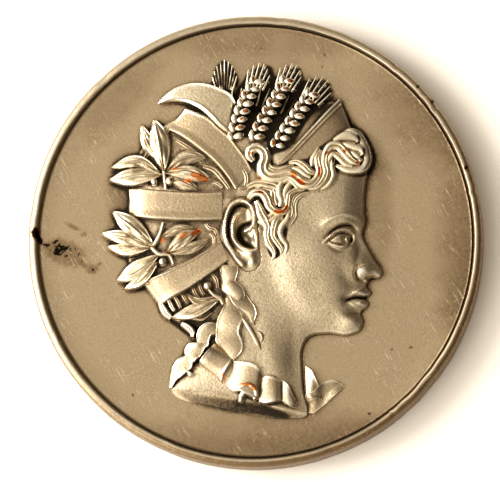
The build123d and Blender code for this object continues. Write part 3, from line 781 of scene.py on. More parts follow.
def drawn_to_outline(x, y, heights, inside, spacing):
    """Moves the grid places nearest to the outline onto it, so that the foot runs clean."""
    near = np.abs(inside) < 0.5 * spacing
    lean_x, lean_y = np.gradient(inside, spacing)
    size = np.maximum(np.hypot(lean_x, lean_y), 0.5)
    moved_x = np.where(near, x - inside * lean_x / size, x)
    moved_y = np.where(near, y - inside * lean_y / size, y)
    return moved_x, moved_y, np.where(near, 0.0, heights)


def ear_heights():
    """Grid places and heights of the ear."""
    x, y = np.meshgrid(np.arange(-5.8, 2.6, EAR_GRID), np.arange(-6.4, 7.2, EAR_GRID), indexing="ij")
    inside = outline_distance(x, y, closed_path(EAR_OUTLINE, 0.3))
    heights = mound(x, y) + EAR_PLATE
    for rows in EAR_FORMS:
        heights = heights + drawn_crease(x, y, rows)
    return x, y, np.maximum(rounded_minimum(heights, mound(x, y) - EAR_FOOT + SIDE_SLOPE * inside), -SINK)


def add_height_field(name, x, y, heights, finish):
    """One object of the medal: a closed skin over the grid cells that stand above their sunken floor."""
    raised = heights > -SINK
    cells = raised[:-1, :-1] | raised[1:, :-1] | raised[:-1, 1:] | raised[1:, 1:]
    number = np.arange(x.size).reshape(x.shape)
    quads = np.stack([number[:-1, :-1], number[1:, :-1], number[1:, 1:], number[:-1, 1:]], axis=-1)[cells]
    used = np.unique(quads)
    again = np.full(x.size, -1)
    again[used] = np.arange(len(used))
    vertices = np.stack([x.ravel()[used], y.ravel()[used], heights.ravel()[used]], axis=-1)
    mesh = raised_mesh(name, vertices, [], [tuple(quad) for quad in again[quads].tolist()])
    work = bmesh.new()
    work.from_mesh(mesh)
    open_edges = [edge for edge in work.edges if edge.is_boundary]
    bmesh.ops.triangle_fill(work, use_beauty=True, use_dissolve=False, edges=open_edges)
    work.to_mesh(mesh)
    work.free()
    finish_piece(name, mesh, finish)


class MEDAL_OT_make_head(bpy.types.Operator):
    """Make the head and neck in profile, and the ear"""

    bl_idname = "medal.make_head"
    bl_label = "Head and ear"

    def execute(self, context):
        spacing = context.scene.medal_sizes.relief_grid / MM
        add_height_field(HEAD, *head_heights(spacing), worn_silver("face"))
        add_height_field("ear", *ear_heights(), worn_silver("ear"))
        return {"FINISHED"}


# Hair: locks over the forehead and before the ear, each with its number of strands and its
# Section rows, then waves of the cap between the bands
LOCKS = (
    (2, ((-0.6, 7.5, 0.4, 0.45), (0.8, 8.0, 0.6, 0.65), (2.4, 7.9, 0.75, 0.8), (3.8, 7.5, 0.65, 0.8),
        (4.6, 6.6, 0.4, 0.75))),
    (2, ((3.3, 7.0, 0.5, 0.75), (3.5, 5.7, 0.65, 0.8), (3.8, 4.5, 0.5, 0.85))),
    (1, ((6.1, 8.0, 0.4, 0.75), (5.5, 7.1, 0.5, 0.8), (5.2, 6.0, 0.45, 0.85), (5.3, 4.9, 0.4, 0.85))),
    (2, ((7.9, 6.9, 0.4, 0.5), (6.5, 6.0, 0.55, 0.7), (6.1, 4.7, 0.55, 0.75), (6.2, 3.4, 0.55, 0.75),
        (5.7, 2.2, 0.45, 0.7))),
    (2, ((0.8, 6.9, 0.5, 0.65), (2.1, 7.4, 0.55, 0.75), (3.5, 6.9, 0.45, 0.75))),
    (3, ((1.3, 2.6, 0.7, 0.8), (2.6, 2.1, 1.05, 0.95), (3.7, 2.7, 1.05, 1.0), (4.7, 3.1, 0.8, 0.95))),
    (1, ((10.7, 6.8, 0.2, 0.7), (11.9, 7.6, 0.34, 0.9), (12.6, 9.0, 0.34, 0.95), (12.4, 10.4, 0.34, 0.95),
        (12.6, 11.6, 0.25, 0.9))),
    (2, ((2.6, 11.6, 0.3, 0.5), (2.9, 10.4, 0.55, 0.8), (4.2, 10.0, 0.6, 0.9), (5.6, 10.3, 0.5, 0.9),
        (6.6, 10.6, 0.3, 0.7))),
    (2, ((0.4, 11.5, 0.4, 0.6), (-0.15, 12.3, 0.7, 0.85), (0.0, 13.15, 0.82, 1.0), (0.95, 13.5, 0.82, 1.0),
        (1.9, 12.9, 0.86, 1.0), (2.15, 11.8, 0.92, 1.0), (1.85, 10.7, 1.05, 1.0), (2.0, 9.8, 1.1, 1.05),
        (3.0, 9.1, 1.1, 1.05), (4.5, 9.05, 1.1, 1.1), (6.0, 9.25, 1.1, 1.15), (7.1, 8.6, 1.05, 1.15),
        (8.1, 7.85, 0.9, 1.15), (9.2, 7.75, 0.8, 1.1), (10.1, 8.5, 0.7, 1.05), (10.5, 9.6, 0.65, 1.0),
        (10.3, 10.7, 0.6, 1.0), (10.2, 11.8, 0.5, 0.95), (10.7, 12.9, 0.3, 0.7))),
    (2, ((8.8, 7.0, 0.3, 0.8), (10.2, 7.3, 0.5, 1.0), (11.2, 8.3, 0.62, 1.05), (11.6, 9.5, 0.62, 1.05),
        (11.3, 10.9, 0.6, 1.05), (11.5, 12.4, 0.66, 1.1), (12.3, 13.5, 0.76, 1.15),
        (13.4, 13.5, 0.82, 1.2), (14.3, 12.6, 0.82, 1.25), (15.1, 11.6, 0.76, 1.25),
        (15.9, 10.95, 0.55, 1.15), (16.6, 10.7, 0.25, 1.0))),
    (1, ((11.95, 10.0, 0.25, 0.7), (11.95, 11.4, 0.38, 0.95), (12.6, 12.2, 0.42, 1.05),
        (13.4, 11.7, 0.45, 1.05), (14.3, 10.8, 0.42, 1.0), (15.5, 10.3, 0.3, 0.95))),
    (1, ((14.2, 15.6, 0.2, 0.6), (15.0, 15.8, 0.42, 0.75), (16.1, 15.4, 0.55, 0.8), (16.9, 14.2, 0.6, 0.8),
        (17.5, 12.7, 0.65, 0.8), (17.7, 11.2, 0.62, 0.85), (17.1, 10.1, 0.58, 0.9),
        (15.7, 9.75, 0.52, 0.95), (14.2, 9.95, 0.45, 0.9), (13.0, 10.45, 0.22, 0.7))),
    (1, ((13.4, 14.0, 0.8, 0.75), (15.2, 13.9, 1.0, 0.85), (16.5, 13.0, 0.95, 0.85),
        (16.9, 11.6, 0.7, 0.8))),
    (1, ((12.6, 14.3, 0.2, 0.9), (13.5, 14.75, 0.5, 1.05), (14.7, 15.0, 0.74, 1.15),
        (15.7, 14.8, 0.66, 1.15), (16.3, 14.25, 0.4, 1.05), (16.35, 13.8, 0.15, 0.95))),
    (1, ((13.9, 13.9, 0.2, 0.9), (14.8, 13.6, 0.48, 1.15), (15.9, 13.3, 0.62, 1.25),
        (16.8, 12.9, 0.56, 1.25), (17.1, 12.2, 0.36, 1.15), (16.7, 11.75, 0.15, 1.0))),
    (1, ((15.0, 12.8, 0.2, 0.8), (15.8, 12.2, 0.42, 1.1), (16.5, 11.6, 0.46, 1.15),
        (16.8, 11.0, 0.25, 1.0))),
    (2, ((5.8, 11.1, 0.25, 0.6), (7.0, 11.15, 0.5, 0.85), (8.2, 10.5, 0.6, 0.95), (9.1, 9.6, 0.55, 0.95),
        (9.8, 9.3, 0.3, 0.8))),
    (1, ((6.2, 10.3, 0.25, 0.7), (7.4, 9.9, 0.4, 0.9), (8.3, 9.2, 0.4, 0.95), (9.1, 8.7, 0.25, 0.9))),
    (1, ((9.3, 10.4, 0.25, 0.6), (9.4, 11.4, 0.4, 0.8), (9.9, 12.4, 0.35, 0.8), (10.3, 13.3, 0.2, 0.6))),
    (1, ((5.0, 8.1, 0.25, 0.9), (5.9, 8.5, 0.35, 1.0), (6.6, 7.9, 0.35, 0.95), (7.3, 7.0, 0.25, 0.7))),
    (1, ((4.9, 8.3, 0.3, 0.8), (4.4, 7.2, 0.48, 0.95), (4.4, 6.2, 0.5, 1.0), (4.7, 5.2, 0.42, 1.0),
        (4.5, 4.3, 0.35, 0.95))),
    (2, ((-0.3, 5.7, 0.4, 0.6), (0.5, 6.5, 0.6, 0.95), (1.7, 6.5, 0.75, 1.05), (2.5, 5.5, 0.8, 1.1),
        (2.9, 4.4, 0.75, 1.1), (3.7, 3.7, 0.62, 1.1), (4.7, 3.5, 0.58, 1.1), (5.5, 4.1, 0.55, 1.05),
        (5.7, 5.2, 0.5, 0.95), (5.9, 6.2, 0.45, 0.9), (6.8, 6.8, 0.4, 0.8), (8.2, 6.9, 0.3, 0.6))),
    (2, ((0.8, 5.3, 0.35, 0.8), (1.2, 4.4, 0.55, 1.0), (1.6, 3.2, 0.8, 1.1), (2.2, 2.2, 0.8, 1.1),
        (2.6, 1.2, 0.65, 1.05), (2.5, 0.0, 0.55, 0.95), (2.8, -1.2, 0.55, 0.9), (3.4, -2.2, 0.45, 0.8),
        (3.6, -3.0, 0.3, 0.6), (3.2, -3.7, 0.1, 0.35))),
    (2, ((4.8, 3.1, 0.35, 0.8), (3.9, 2.2, 0.6, 1.0), (3.5, 1.0, 0.6, 1.0), (3.5, -0.2, 0.5, 0.9),
        (4.2, -1.3, 0.5, 0.85), (4.7, -2.2, 0.4, 0.7), (4.6, -3.0, 0.15, 0.4))),
    (1, ((5.9, 3.6, 0.3, 0.7), (5.6, 2.4, 0.45, 0.9), (4.8, 1.4, 0.48, 0.9), (4.5, 0.3, 0.42, 0.85),
        (4.9, -0.7, 0.42, 0.8), (5.5, -1.6, 0.36, 0.7), (5.4, -2.5, 0.28, 0.6), (5.0, -3.3, 0.1, 0.3))),
    (2, ((9.4, 6.4, 0.2, 0.4), (7.9, 6.1, 0.4, 0.6), (6.9, 5.2, 0.45, 0.65), (6.7, 4.0, 0.45, 0.65),
        (6.8, 2.9, 0.4, 0.6), (6.2, 1.9, 0.4, 0.6), (5.5, 1.0, 0.25, 0.5))),
)
WAVES = (
    ((-10.6, 14.2, 0.5, 0.05), (-9.4, 13.6, 0.6, 0.15), (-8.3, 12.6, 0.6, 0.2), (-7.0, 11.2, 0.5, 0.1)),
    ((-11.4, 15.2, 0.4, 0.0), (-10.2, 14.4, 0.5, 0.12), (-8.8, 13.5, 0.5, 0.15), (-7.4, 12.2, 0.4, 0.1)),
    ((-7.2, 11.0, 0.5, 0.3), (-5.6, 10.3, 0.6, 0.4), (-4.3, 8.9, 0.55, 0.4), (-3.3, 7.4, 0.4, 0.3)),
    ((-5.8, 8.4, 0.3, 0.3), (-5.0, 8.2, 0.4, 0.4), (-4.3, 7.6, 0.3, 0.35)),
    ((-2.6, 10.9, 0.35, 0.1), (-1.7, 10.6, 0.5, 0.3), (-0.9, 9.8, 0.5, 0.35), (-0.6, 8.6, 0.5, 0.35),
        (-0.9, 7.6, 0.45, 0.3), (-1.8, 7.5, 0.35, 0.3), (-1.9, 8.3, 0.2, 0.2)),
    ((-6.9, 2.1, 0.35, 0.2), (-6.3, 1.4, 0.45, 0.35), (-5.5, 1.2, 0.45, 0.35), (-5.2, 0.4, 0.35, 0.25)),
    ((-6.2, 0.6, 0.25, 0.25), (-5.6, -0.1, 0.4, 0.35), (-5.6, -1.0, 0.35, 0.25)),
    ((-13.9, -9.6, 0.4, -0.2), (-13.0, -11.2, 0.6, 0.0), (-12.2, -12.0, 0.4, -0.1)),
    ((-12.6, -9.3, 0.35, 0.0), (-12.1, -10.3, 0.4, 0.1), (-11.7, -11.0, 0.3, 0.0)),
    ((-11.6, -8.9, 0.35, 0.0), (-11.0, -9.9, 0.4, 0.1), (-10.7, -10.6, 0.3, 0.0)),
    ((-10.6, -8.4, 0.35, 0.0), (-9.9, -9.4, 0.4, 0.1), (-9.4, -10.0, 0.3, 0.0)),
    ((-8.9, -7.4, 0.35, 0.1), (-8.5, -8.4, 0.45, 0.2), (-7.9, -9.2, 0.35, 0.15)),
    ((-7.9, -6.9, 0.3, 0.1), (-7.6, -7.8, 0.4, 0.2), (-7.1, -8.8, 0.35, 0.15)),
    ((-10.6, -12.9, 0.35, -0.2), (-9.8, -13.4, 0.5, -0.1), (-9.0, -14.2, 0.5, -0.1),
        (-9.0, -15.0, 0.2, -0.2)),
    ((-9.2, -12.0, 0.5, -0.1), (-7.6, -12.2, 0.6, 0.0), (-6.0, -11.4, 0.5, 0.0)),
    ((-5.9, -5.6, 0.35, 0.2), (-5.2, -6.6, 0.45, 0.3), (-5.0, -7.8, 0.35, 0.2)),
    ((-16.9, 11.4, 0.5, -0.3), (-15.6, 13.6, 0.6, -0.1), (-13.6, 15.9, 0.6, 0.0),
        (-12.6, 17.0, 0.4, -0.1)),
    ((-17.7, 9.2, 0.5, -0.5), (-17.0, 8.8, 0.5, -0.3), (-15.8, 8.6, 0.4, -0.1)),
    ((-18.2, 2.6, 0.5, -0.5), (-17.4, 1.6, 0.5, -0.3), (-16.6, 0.2, 0.5, -0.2)),
    ((-18.6, -2.6, 0.5, -0.6), (-17.4, -2.4, 0.6, -0.3), (-16.2, -2.2, 0.5, -0.1)),
    ((-17.9, -4.4, 0.5, -0.6), (-16.6, -5.8, 0.5, -0.4), (-15.6, -6.6, 0.4, -0.2)),
    ((-12.9, 1.9, 0.4, 0.0), (-11.2, 2.2, 0.4, 0.1), (-9.2, 2.2, 0.4, 0.1)),
    ((-11.9, -3.4, 0.4, 0.0), (-9.6, -2.6, 0.4, 0.1), (-7.2, -1.4, 0.4, 0.1)),
)


def stranded(strands):
    """The cross-section of a round lock parted into strands by deep grooves."""
    def profile(across, along, half_width):
        parting = np.abs(np.sin(math.pi * strands * (across + 1) / 2 + 0.25 * np.sin(7 * along)))
        groove = 0.42 * np.minimum(half_width, 0.9) * (np.minimum(parting * 1.25, 1) ** 0.7 - 1)
        return 1.1 * round_ridge(across, along, half_width) + groove * (strands > 1)
    return profile


class MEDAL_OT_make_hair(bpy.types.Operator):
    """Make the locks of hair over the forehead and before the ear, and the waves of the cap"""

    bl_idname = "medal.make_hair"
    bl_label = "Hair"

    def execute(self, context):
        locks = [
            strip(rows, stranded(strands), spacing=0.14, columns=27, widening=1.15)
            for strands, rows in LOCKS
        ]
        add_piece(HAIR, locks, worn_silver("hair"))
        waves = [strip(rows, stranded(2), columns=21) for rows in WAVES]
        add_piece("hair_waves", waves, worn_silver("waves"))
        return {"FINISHED"}


# Four plain bands across the cap, the last with two rails, and the curved blade above them,
# as RibbonSection rows
BANDS = (
    ((-10.0, 20.2, -12.9, 16.7, -0.1, -0.3), (-8.1, 19.3, -11.0, 15.7, 0.3, 0.15),
        (-6.4, 18.5, -9.2, 14.4, 0.4, 0.35), (-5.0, 17.1, -7.7, 13.2, 0.4, 0.42),
        (-3.1, 15.4, -6.0, 11.7, 0.38, 0.46), (-1.8, 13.7, -4.8, 10.4, 0.35, 0.46),
        (-0.7, 12.1, -3.6, 8.8, 0.3, 0.42), (0.2, 10.4, -2.5, 7.0, 0.2, 0.35)),
    ((-18.8, 8.1, -18.2, 3.4, -0.7, -0.7), (-17.0, 8.0, -16.8, 3.2, 0.0, 0.05),
        (-15.0, 7.7, -15.0, 2.9, 0.28, 0.35), (-12.4, 7.4, -12.4, 2.7, 0.38, 0.46),
        (-10.0, 7.15, -10.0, 2.5, 0.4, 0.48), (-7.0, 7.0, -7.0, 2.4, 0.38, 0.45),
        (-4.4, 7.0, -4.4, 2.4, 0.3, 0.35)),
    ((-16.2, -6.2, -13.6, -10.3, -0.6, -0.6), (-15.2, -5.8, -12.8, -9.7, 0.1, 0.1),
        (-14.1, -5.4, -11.8, -9.1, 0.3, 0.35), (-11.5, -4.4, -9.4, -7.9, 0.4, 0.46),
        (-9.2, -3.3, -7.4, -6.6, 0.42, 0.48), (-6.5, -1.75, -5.4, -5.3, 0.38, 0.44),
        (-4.6, -0.6, -3.4, -3.9, 0.3, 0.32)),
    ((13.4, 21.0, 15.2, 16.3, -0.3, -0.2), (11.6, 19.1, 14.4, 15.4, 0.25, 0.2),
        (9.6, 16.9, 12.6, 13.9, 0.36, 0.3), (7.4, 14.5, 10.8, 12.4, 0.38, 0.32),
        (5.4, 12.3, 8.6, 10.6, 0.34, 0.3), (4.2, 11.0, 6.4, 9.4, 0.25, 0.25)),
)
BLADE = (
    (-14.4, 21.25, -14.3, 21.1, -0.2, -0.2), (-13.2, 22.35, -12.9, 21.35, 0.05, 0.2),
    (-12.2, 23.1, -11.8, 21.4, 0.15, 0.3), (-10.4, 23.8, -10.2, 21.15, 0.22, 0.35),
    (-8.5, 24.0, -8.9, 20.6, 0.25, 0.38), (-6.5, 23.7, -7.5, 19.7, 0.22, 0.38),
    (-4.8, 23.0, -6.1, 18.3, 0.15, 0.34), (-3.2, 22.1, -4.9, 16.8, 0.05, 0.25),
    (-2.3, 20.6, -3.6, 15.6, 0.0, 0.15),
)
# Places and half width of the rails, in shares of the band's half width, and their rise
RAIL_PLACE = -0.88
SECOND_RAIL_PLACE = -0.62
RAIL_HALF_WIDTH = 0.07
RAIL_RISE = 0.08
DOUBLE_RAIL_RISE = 0.15


def banded(across, along, half_width):
    """A flat band with a raised rail along its upper edge and both edges rounded off."""
    rail = line(across, RAIL_PLACE, RAIL_HALF_WIDTH, 4)
    bevel = smooth_step((across - 0.82) / 0.18) + 0.3 * smooth_step((-0.93 - across) / 0.07)
    return RAIL_RISE * rail - 0.55 * bevel + 0.12 * smooth_step((across - 0.3) / 0.5)


def double_railed(across, along, half_width):
    """A flat band with two rails along its left edge."""
    rails = sum(line(across, place, RAIL_HALF_WIDTH, 4) for place in (RAIL_PLACE, SECOND_RAIL_PLACE))
    return DOUBLE_RAIL_RISE * rails + 0.08 * smooth_step((across - 0.8) / 0.1)


def bevelled(across, along, half_width):
    """A blade: a flat face, a fine raised back and a broad bevel ground to the edge."""
    back = 0.10 * smooth_step((-0.86 - across) / 0.08)
    return back - np.maximum(across - 0.72, 0) + 0.12 * smooth_step((across - 0.62) / 0.12)


class MEDAL_OT_make_bands(bpy.types.Operator):
    """Make the four plain bands and the curved blade"""

    bl_idname = "medal.make_bands"
    bl_label = "Bands and blade"

    def execute(self, context):
        profiles = (banded, banded, banded, double_railed)
        bands = [ribbon(rows, profile, spacing=0.25, columns=41) for rows, profile in zip(BANDS, profiles)]
        add_piece("plain_bands", bands, worn_silver("bands"))
        blade = ribbon(BLADE, bevelled, spacing=0.2, columns=33)
        add_piece("curved_blade", [blade], worn_silver("blade"))
        return {"FINISHED"}


# Laurel: tip, middle and base of each leaf, its half width and its lifts at tip, middle and base
Leaf = namedtuple("Leaf", "tip middle base half_width lifts")
LEAVES = table(Leaf, (
    ((-16.9, 18.0), (-15.8, 14.9), (-13.9, 11.9), 0.85, (-0.2, 0.1, 0.25)),
    ((-14.9, 18.7), (-14.0, 15.1), (-13.3, 10.3), 1.45, (0.1, 0.5, 0.4)),
    ((-21.7, 11.3), (-17.7, 12.2), (-14.0, 10.3), 0.85, (0.0, 0.3, 0.35)),
    ((-21.9, 9.5), (-18.2, 9.8), (-13.6, 9.9), 1.2, (0.0, 0.5, 0.4)),
    ((-6.7, 12.3), (-9.9, 12.3), (-12.9, 10.4), 1.0, (0.2, 0.5, 0.4)),
    ((-6.0, 8.8), (-9.7, 10.0), (-13.0, 10.1), 1.05, (0.3, 0.75, 0.45)),
    ((-7.9, 7.3), (-10.1, 8.3), (-12.9, 9.5), 0.85, (0.2, 0.45, 0.4)),
    ((-21.3, 4.7), (-18.4, 2.3), (-14.9, -0.9), 1.25, (0.0, 0.5, 0.4)),
    ((-23.1, 1.4), (-19.5, 0.5), (-14.9, -1.2), 0.95, (0.0, 0.4, 0.4)),
    ((-22.2, -0.7), (-19.0, -1.4), (-15.2, -1.3), 0.75, (-0.1, 0.3, 0.35)),
    ((-20.7, -6.2), (-17.1, -4.3), (-14.0, -2.4), 1.15, (0.0, 0.5, 0.4)),
    ((-19.5, -7.5), (-16.8, -6.0), (-14.2, -3.5), 0.75, (-0.1, 0.35, 0.3)),
    ((-8.4, 1.4), (-11.2, 1.25), (-13.7, 0.3), 0.7, (0.2, 0.45, 0.35)),
    ((-7.8, 1.1), (-10.3, -0.2), (-12.8, -2.1), 0.95, (0.3, 0.75, 0.4)),
    ((-6.2, -0.3), (-9.2, -1.6), (-12.6, -2.3), 0.75, (0.2, 0.5, 0.35)),
    ((-12.2, -12.1), (-8.8, -11.2), (-4.7, -9.5), 0.95, (0.0, 0.5, 0.45)),
    ((-10.0, -8.4), (-8.4, -9.7), (-5.0, -9.2), 0.5, (0.1, 0.4, 0.4)),
))
# Stalks, as Section rows
STALKS = (
    ((-13.3, 10.4, 0.3, 0.5), (-13.2, 9.2, 0.26, 0.5), (-13.0, 7.7, 0.22, 0.45)),
    ((-14.9, -1.0, 0.32, 0.5), (-14.2, 0.1, 0.3, 0.5), (-13.8, 1.0, 0.26, 0.45), (-13.4, 2.5, 0.2, 0.35)),
    ((-15.2, -1.2, 0.3, 0.45), (-14.0, -2.3, 0.34, 0.5), (-12.5, -2.5, 0.3, 0.45),
        (-11.8, -3.9, 0.2, 0.3)),
    ((-6.4, -8.0, 0.16, 0.45), (-5.7, -8.8, 0.24, 0.45), (-4.6, -9.5, 0.36, 0.45),
        (-4.2, -10.3, 0.25, 0.35)),
)
# Berries: place and size in shares of the berry radius
Berry = namedtuple("Berry", "x y size")
BERRIES = table(Berry, (
    (-14.8, 8.85, 0.9), (-12.4, 8.85, 1.15), (-13.5, -3.5, 1.0), (-6.6, -7.45, 1.05),
))
BERRY_LIFT = 0.45
MIDRIB_PLACE = 0.08


def leaf_blade(across, along, half_width):
    """A leaf with a raised midrib, two soft folds and turned-down edges."""
    from_rib = np.abs(across - MIDRIB_PLACE)
    roof = 0.42 * half_width * (0.35 - from_rib)
    groove = 0.10 * line(from_rib, 0, 0.08) - 0.11 * line(from_rib, 0.22, 0.10)
    edge = 0.10 * line(np.abs(across), 0.88, 0.10)
    veins = 0.07 * np.sin(14 * along - 6 * np.abs(across)) * (1 - across ** 2)
    return roof + groove + edge + veins


def leaf_mesh(leaf):
    """One leaf as a strip that starts at its tip, is widest before its middle and ends narrow."""
    spine = [(*place, lift) for place, lift in zip((leaf.tip, leaf.middle, leaf.base), leaf.lifts)]
    spine = smooth_path(spine, 0.3)
    share = np.linspace(0, 1, len(spine))
    width = 1.08 * leaf.half_width * np.sin(math.pi * share ** 0.92) ** 1.05 + 0.02 + 0.10 * share
    rows = np.stack([spine[:, 0], spine[:, 1], width, spine[:, 2]], axis=1)
    return strip(rows, leaf_blade, columns=21)


def grown_piece(name, points, tree, values, finish, chains=(), numbers=None):
    """The plain mesh that a geometry tree makes of a row of places with their own numbers."""
    seeds = raised_mesh(name + "_seed", points, chains, [])
    for label, row in (numbers or {}).items():
        seeds.attributes.new(label, "FLOAT", "POINT").data.foreach_set("value", np.array(row, np.float32))
    holder = bpy.data.objects.new(name + "_seed", seeds)
    bpy.context.scene.collection.objects.link(holder)
    modifier = holder.modifiers.new("Grow", "NODES")
    modifier.node_group = tree
    for item in tree.interface.items_tree:
        if item.in_out == "INPUT" and item.name in values:
            modifier[item.identifier] = values[item.name]
    grown = bpy.data.meshes.new_from_object(holder.evaluated_get(bpy.context.evaluated_depsgraph_get()))
    grown.name = name
    bpy.data.objects.remove(holder)
    return finish_piece(name, grown, finish)


def raised_place(x, y, lift):
    """A place with its height, lifted from the mound."""
    return x, y, float(mound(x, y)) + lift


def berry_tree(finish):
    """A small round berry on every place, as wide as its size says."""
    work = Growth("laurel_berries", (("Radius", "NodeSocketFloat", 0.5 * MM),))
    ball = work.node("GeometryNodeMeshUVSphere", {}, {
        "Segments": 20, "Rings": 12, "Radius": work.given("Radius"),
    })
    return work.close(work.placed(work.given("Geometry"), ball, Scale=work.named("size")), finish)


class MEDAL_OT_make_laurel(bpy.types.Operator):
    """Make the sprigs of laurel with their stalks and berries"""

    bl_idname = "medal.make_laurel"
    bl_label = "Laurel"

    def execute(self, context):
        finish = worn_silver("laurel")
        add_piece("laurel_leaves", [leaf_mesh(leaf) for leaf in LEAVES], finish)
        add_piece("laurel_stalks", [strip(rows, round_ridge, spacing=0.15) for rows in STALKS], finish)
        points = [raised_place(berry.x, berry.y, BERRY_LIFT) for berry in BERRIES]
        values = {"Radius": context.scene.medal_sizes.berry_radius}
        grown_piece("laurel_berries", points, berry_tree(finish), values, finish,
                    numbers={"size": [berry.size for berry in BERRIES]})
        return {"FINISHED"}


# Wheat: the line of each ear as x, y and lift
EARS_OF_WHEAT = (
    ((-2.5, 15.4, 0.55), (-2.2, 17.0, 0.65), (-1.5, 19.3, 0.75), (-0.4, 21.8, 0.8), (0.75, 23.9, 0.7)),
    ((0.7, 15.3, 0.65), (1.6, 17.3, 0.75), (2.9, 19.5, 0.85), (4.2, 21.8, 0.85), (5.3, 23.9, 0.7)),
    ((3.9, 13.9, 0.6), (5.1, 15.8, 0.75), (6.6, 18.0, 0.85), (8.1, 20.2, 0.85), (9.1, 21.7, 0.7)),
)
# Fans of awns: middle of the feet, lift, spread of the feet, first and last turn from +Y in
# degrees, shortest and longest awn, and how many there are
AwnFan = namedtuple("AwnFan", "x y lift spread first_turn last_turn shortest longest count")
AWN_FANS = table(AwnFan, (
    (0.5, 22.8, 0.4, 2.6, -7.0, -25.0, 2.6, 4.2, 6), (4.95, 22.6, 0.4, 2.6, -14.0, -33.0, 2.8, 4.3, 6),
    (9.0, 20.7, 0.4, 2.9, -23.0, -46.0, 2.8, 4.2, 6), (-4.1, 22.8, -0.5, 2.5, 17.0, -15.0, 2.2, 4.8, 9),
    (-2.6, 19.9, -0.1, 0.9, -3.0, -12.0, 3.2, 4.2, 2), (1.2, 20.0, -0.3, 0.9, -14.0, -22.0, 3.2, 4.4, 2),
    (4.9, 18.6, -0.3, 0.9, -24.0, -31.0, 3.2, 4.6, 2),
))
# Low pads below the fans, as Section rows
FAN_PADS = (
    ((0.2, 21.6, 1.3, -0.9), (0.8, 23.4, 1.5, -0.8), (1.5, 25.1, 1.3, -0.8), (2.2, 26.3, 0.5, -0.8)),
    ((4.5, 21.6, 1.3, -0.9), (5.2, 23.2, 1.5, -0.8), (6.0, 24.9, 1.3, -0.8), (6.8, 26.0, 0.5, -0.8)),
    ((8.4, 19.6, 1.4, -0.9), (9.5, 21.1, 1.6, -0.8), (10.7, 22.6, 1.4, -0.8), (11.7, 23.7, 0.5, -0.8)),
    ((-3.9, 22.0, 1.4, -1.1), (-4.1, 23.8, 1.9, -0.9), (-4.3, 25.6, 1.75, -0.9), (-4.4, 27.3, 0.4, -0.9)),
)
AWN_THICKNESS = 0.21
AWN_TIP = 0.08
AWN_TILT = -95.0
GRAIN_LEAN = 0.95
GRAIN_TAPER = 0.8
# A grain's thickness and its place beside the ear's line, in shares of its width
GRAIN_THICKNESS = 0.34
GRAIN_ASIDE = 0.66
# The two rows of grains: side, shift along the ear in shares of the pitch, share of the lean
GRAIN_ROWS = ((-1.0, 0.14, 1.15), (1.0, 0.0, 0.52))
# From what share of its height a grain is worn to bronze, and how quickly
CREST_START = 0.5
CREST_GAIN = 2.1
STEM_HALF_WIDTH = 0.75
STEM_DROP = 0.35


def wheat_tree(finish):
    """Pairs of pointed grains at even steps along every line, leaning out to both sides."""
    work = Growth("wheat_ears", (
        ("Pitch", "NodeSocketFloat", 1.3 * MM), ("Length", "NodeSocketFloat", 1.5 * MM),
        ("Width", "NodeSocketFloat", 0.9 * MM), ("Lean", "NodeSocketFloat", 0.5),
        ("Seed", "NodeSocketInt", 1),
    ))
    pitch, length, width = (work.given(name) for name in ("Pitch", "Length", "Width"))

    # One grain: a ball drawn long and narrowed towards its tip
    ball = work.node("GeometryNodeMeshUVSphere", {}, {"Segments": 16, "Rings": 12, "Radius": 1.0})
    place = work.node("GeometryNodeInputPosition", {}, {})
    across = work.node("ShaderNodeSeparateXYZ", {}, {"Vector": place}, "X")
    up, along = across.beside("Y"), across.beside("Z")
    ahead = along.at_least(0.0)
    taper = 1.0 - GRAIN_TAPER * (ahead * ahead)
    shaped = work.node("ShaderNodeCombineXYZ", {}, {
        "X": along * (length * 0.5), "Y": across * taper * (width * 0.5),
        "Z": up * taper * (width * GRAIN_THICKNESS),
    })
    marked = work.node("GeometryNodeStoreNamedAttribute", {"data_type": "FLOAT", "domain": "POINT"}, {
        "Geometry": ball, "Name": "crest", "Value": ((up - CREST_START) * CREST_GAIN).at_least(0.0),
    })
    grain = work.node("GeometryNodeSetPosition", {}, {"Geometry": marked, "Position": shaped})

    # Both rows of grains along the line
    curve = work.node("GeometryNodeMeshToCurve", {}, {"Mesh": work.given("Geometry")})
    steps = work.node("GeometryNodeResampleCurve", {"mode": "LENGTH"}, {"Curve": curve, "Length": pitch})
    tangent = work.node("GeometryNodeInputTangent", {}, {})
    sideways = work.vector("CROSS_PRODUCT", {0: (0.0, 0.0, 1.0), 1: tangent})
    joined = work.node("GeometryNodeJoinGeometry", {}, {})
    for side, shift, lean_share in GRAIN_ROWS:
        aside = work.vector("SCALE", {0: sideways, "Scale": width * (side * GRAIN_ASIDE)})
        onward = work.vector("SCALE", {0: tangent, "Scale": pitch * shift})
        moved = work.node("GeometryNodeSetPosition", {}, {
            "Geometry": steps, "Offset": work.vector("ADD", {0: aside, 1: onward}),
        })
        aligned = work.node("FunctionNodeAlignRotationToVector", {"axis": "X"}, {"Vector": tangent})
        lean = work.node("ShaderNodeCombineXYZ", {}, {"Z": work.given("Lean") * (side * lean_share)})
        turn = work.node("FunctionNodeRotateRotation", {"rotation_space": "LOCAL"}, {
            "Rotation": aligned, "Rotate By": lean,
        })
        size = work.node("FunctionNodeRandomValue", {"data_type": "FLOAT"}, {
            2: 0.88, 3: 1.1, "Seed": work.given("Seed") + side,
        }, 1)
        placed = work.placed(moved, grain, Rotation=turn, Scale=size)
        work.tree.links.new(placed.socket, joined.socket.node.inputs[0])
    return work.close(joined, finish)


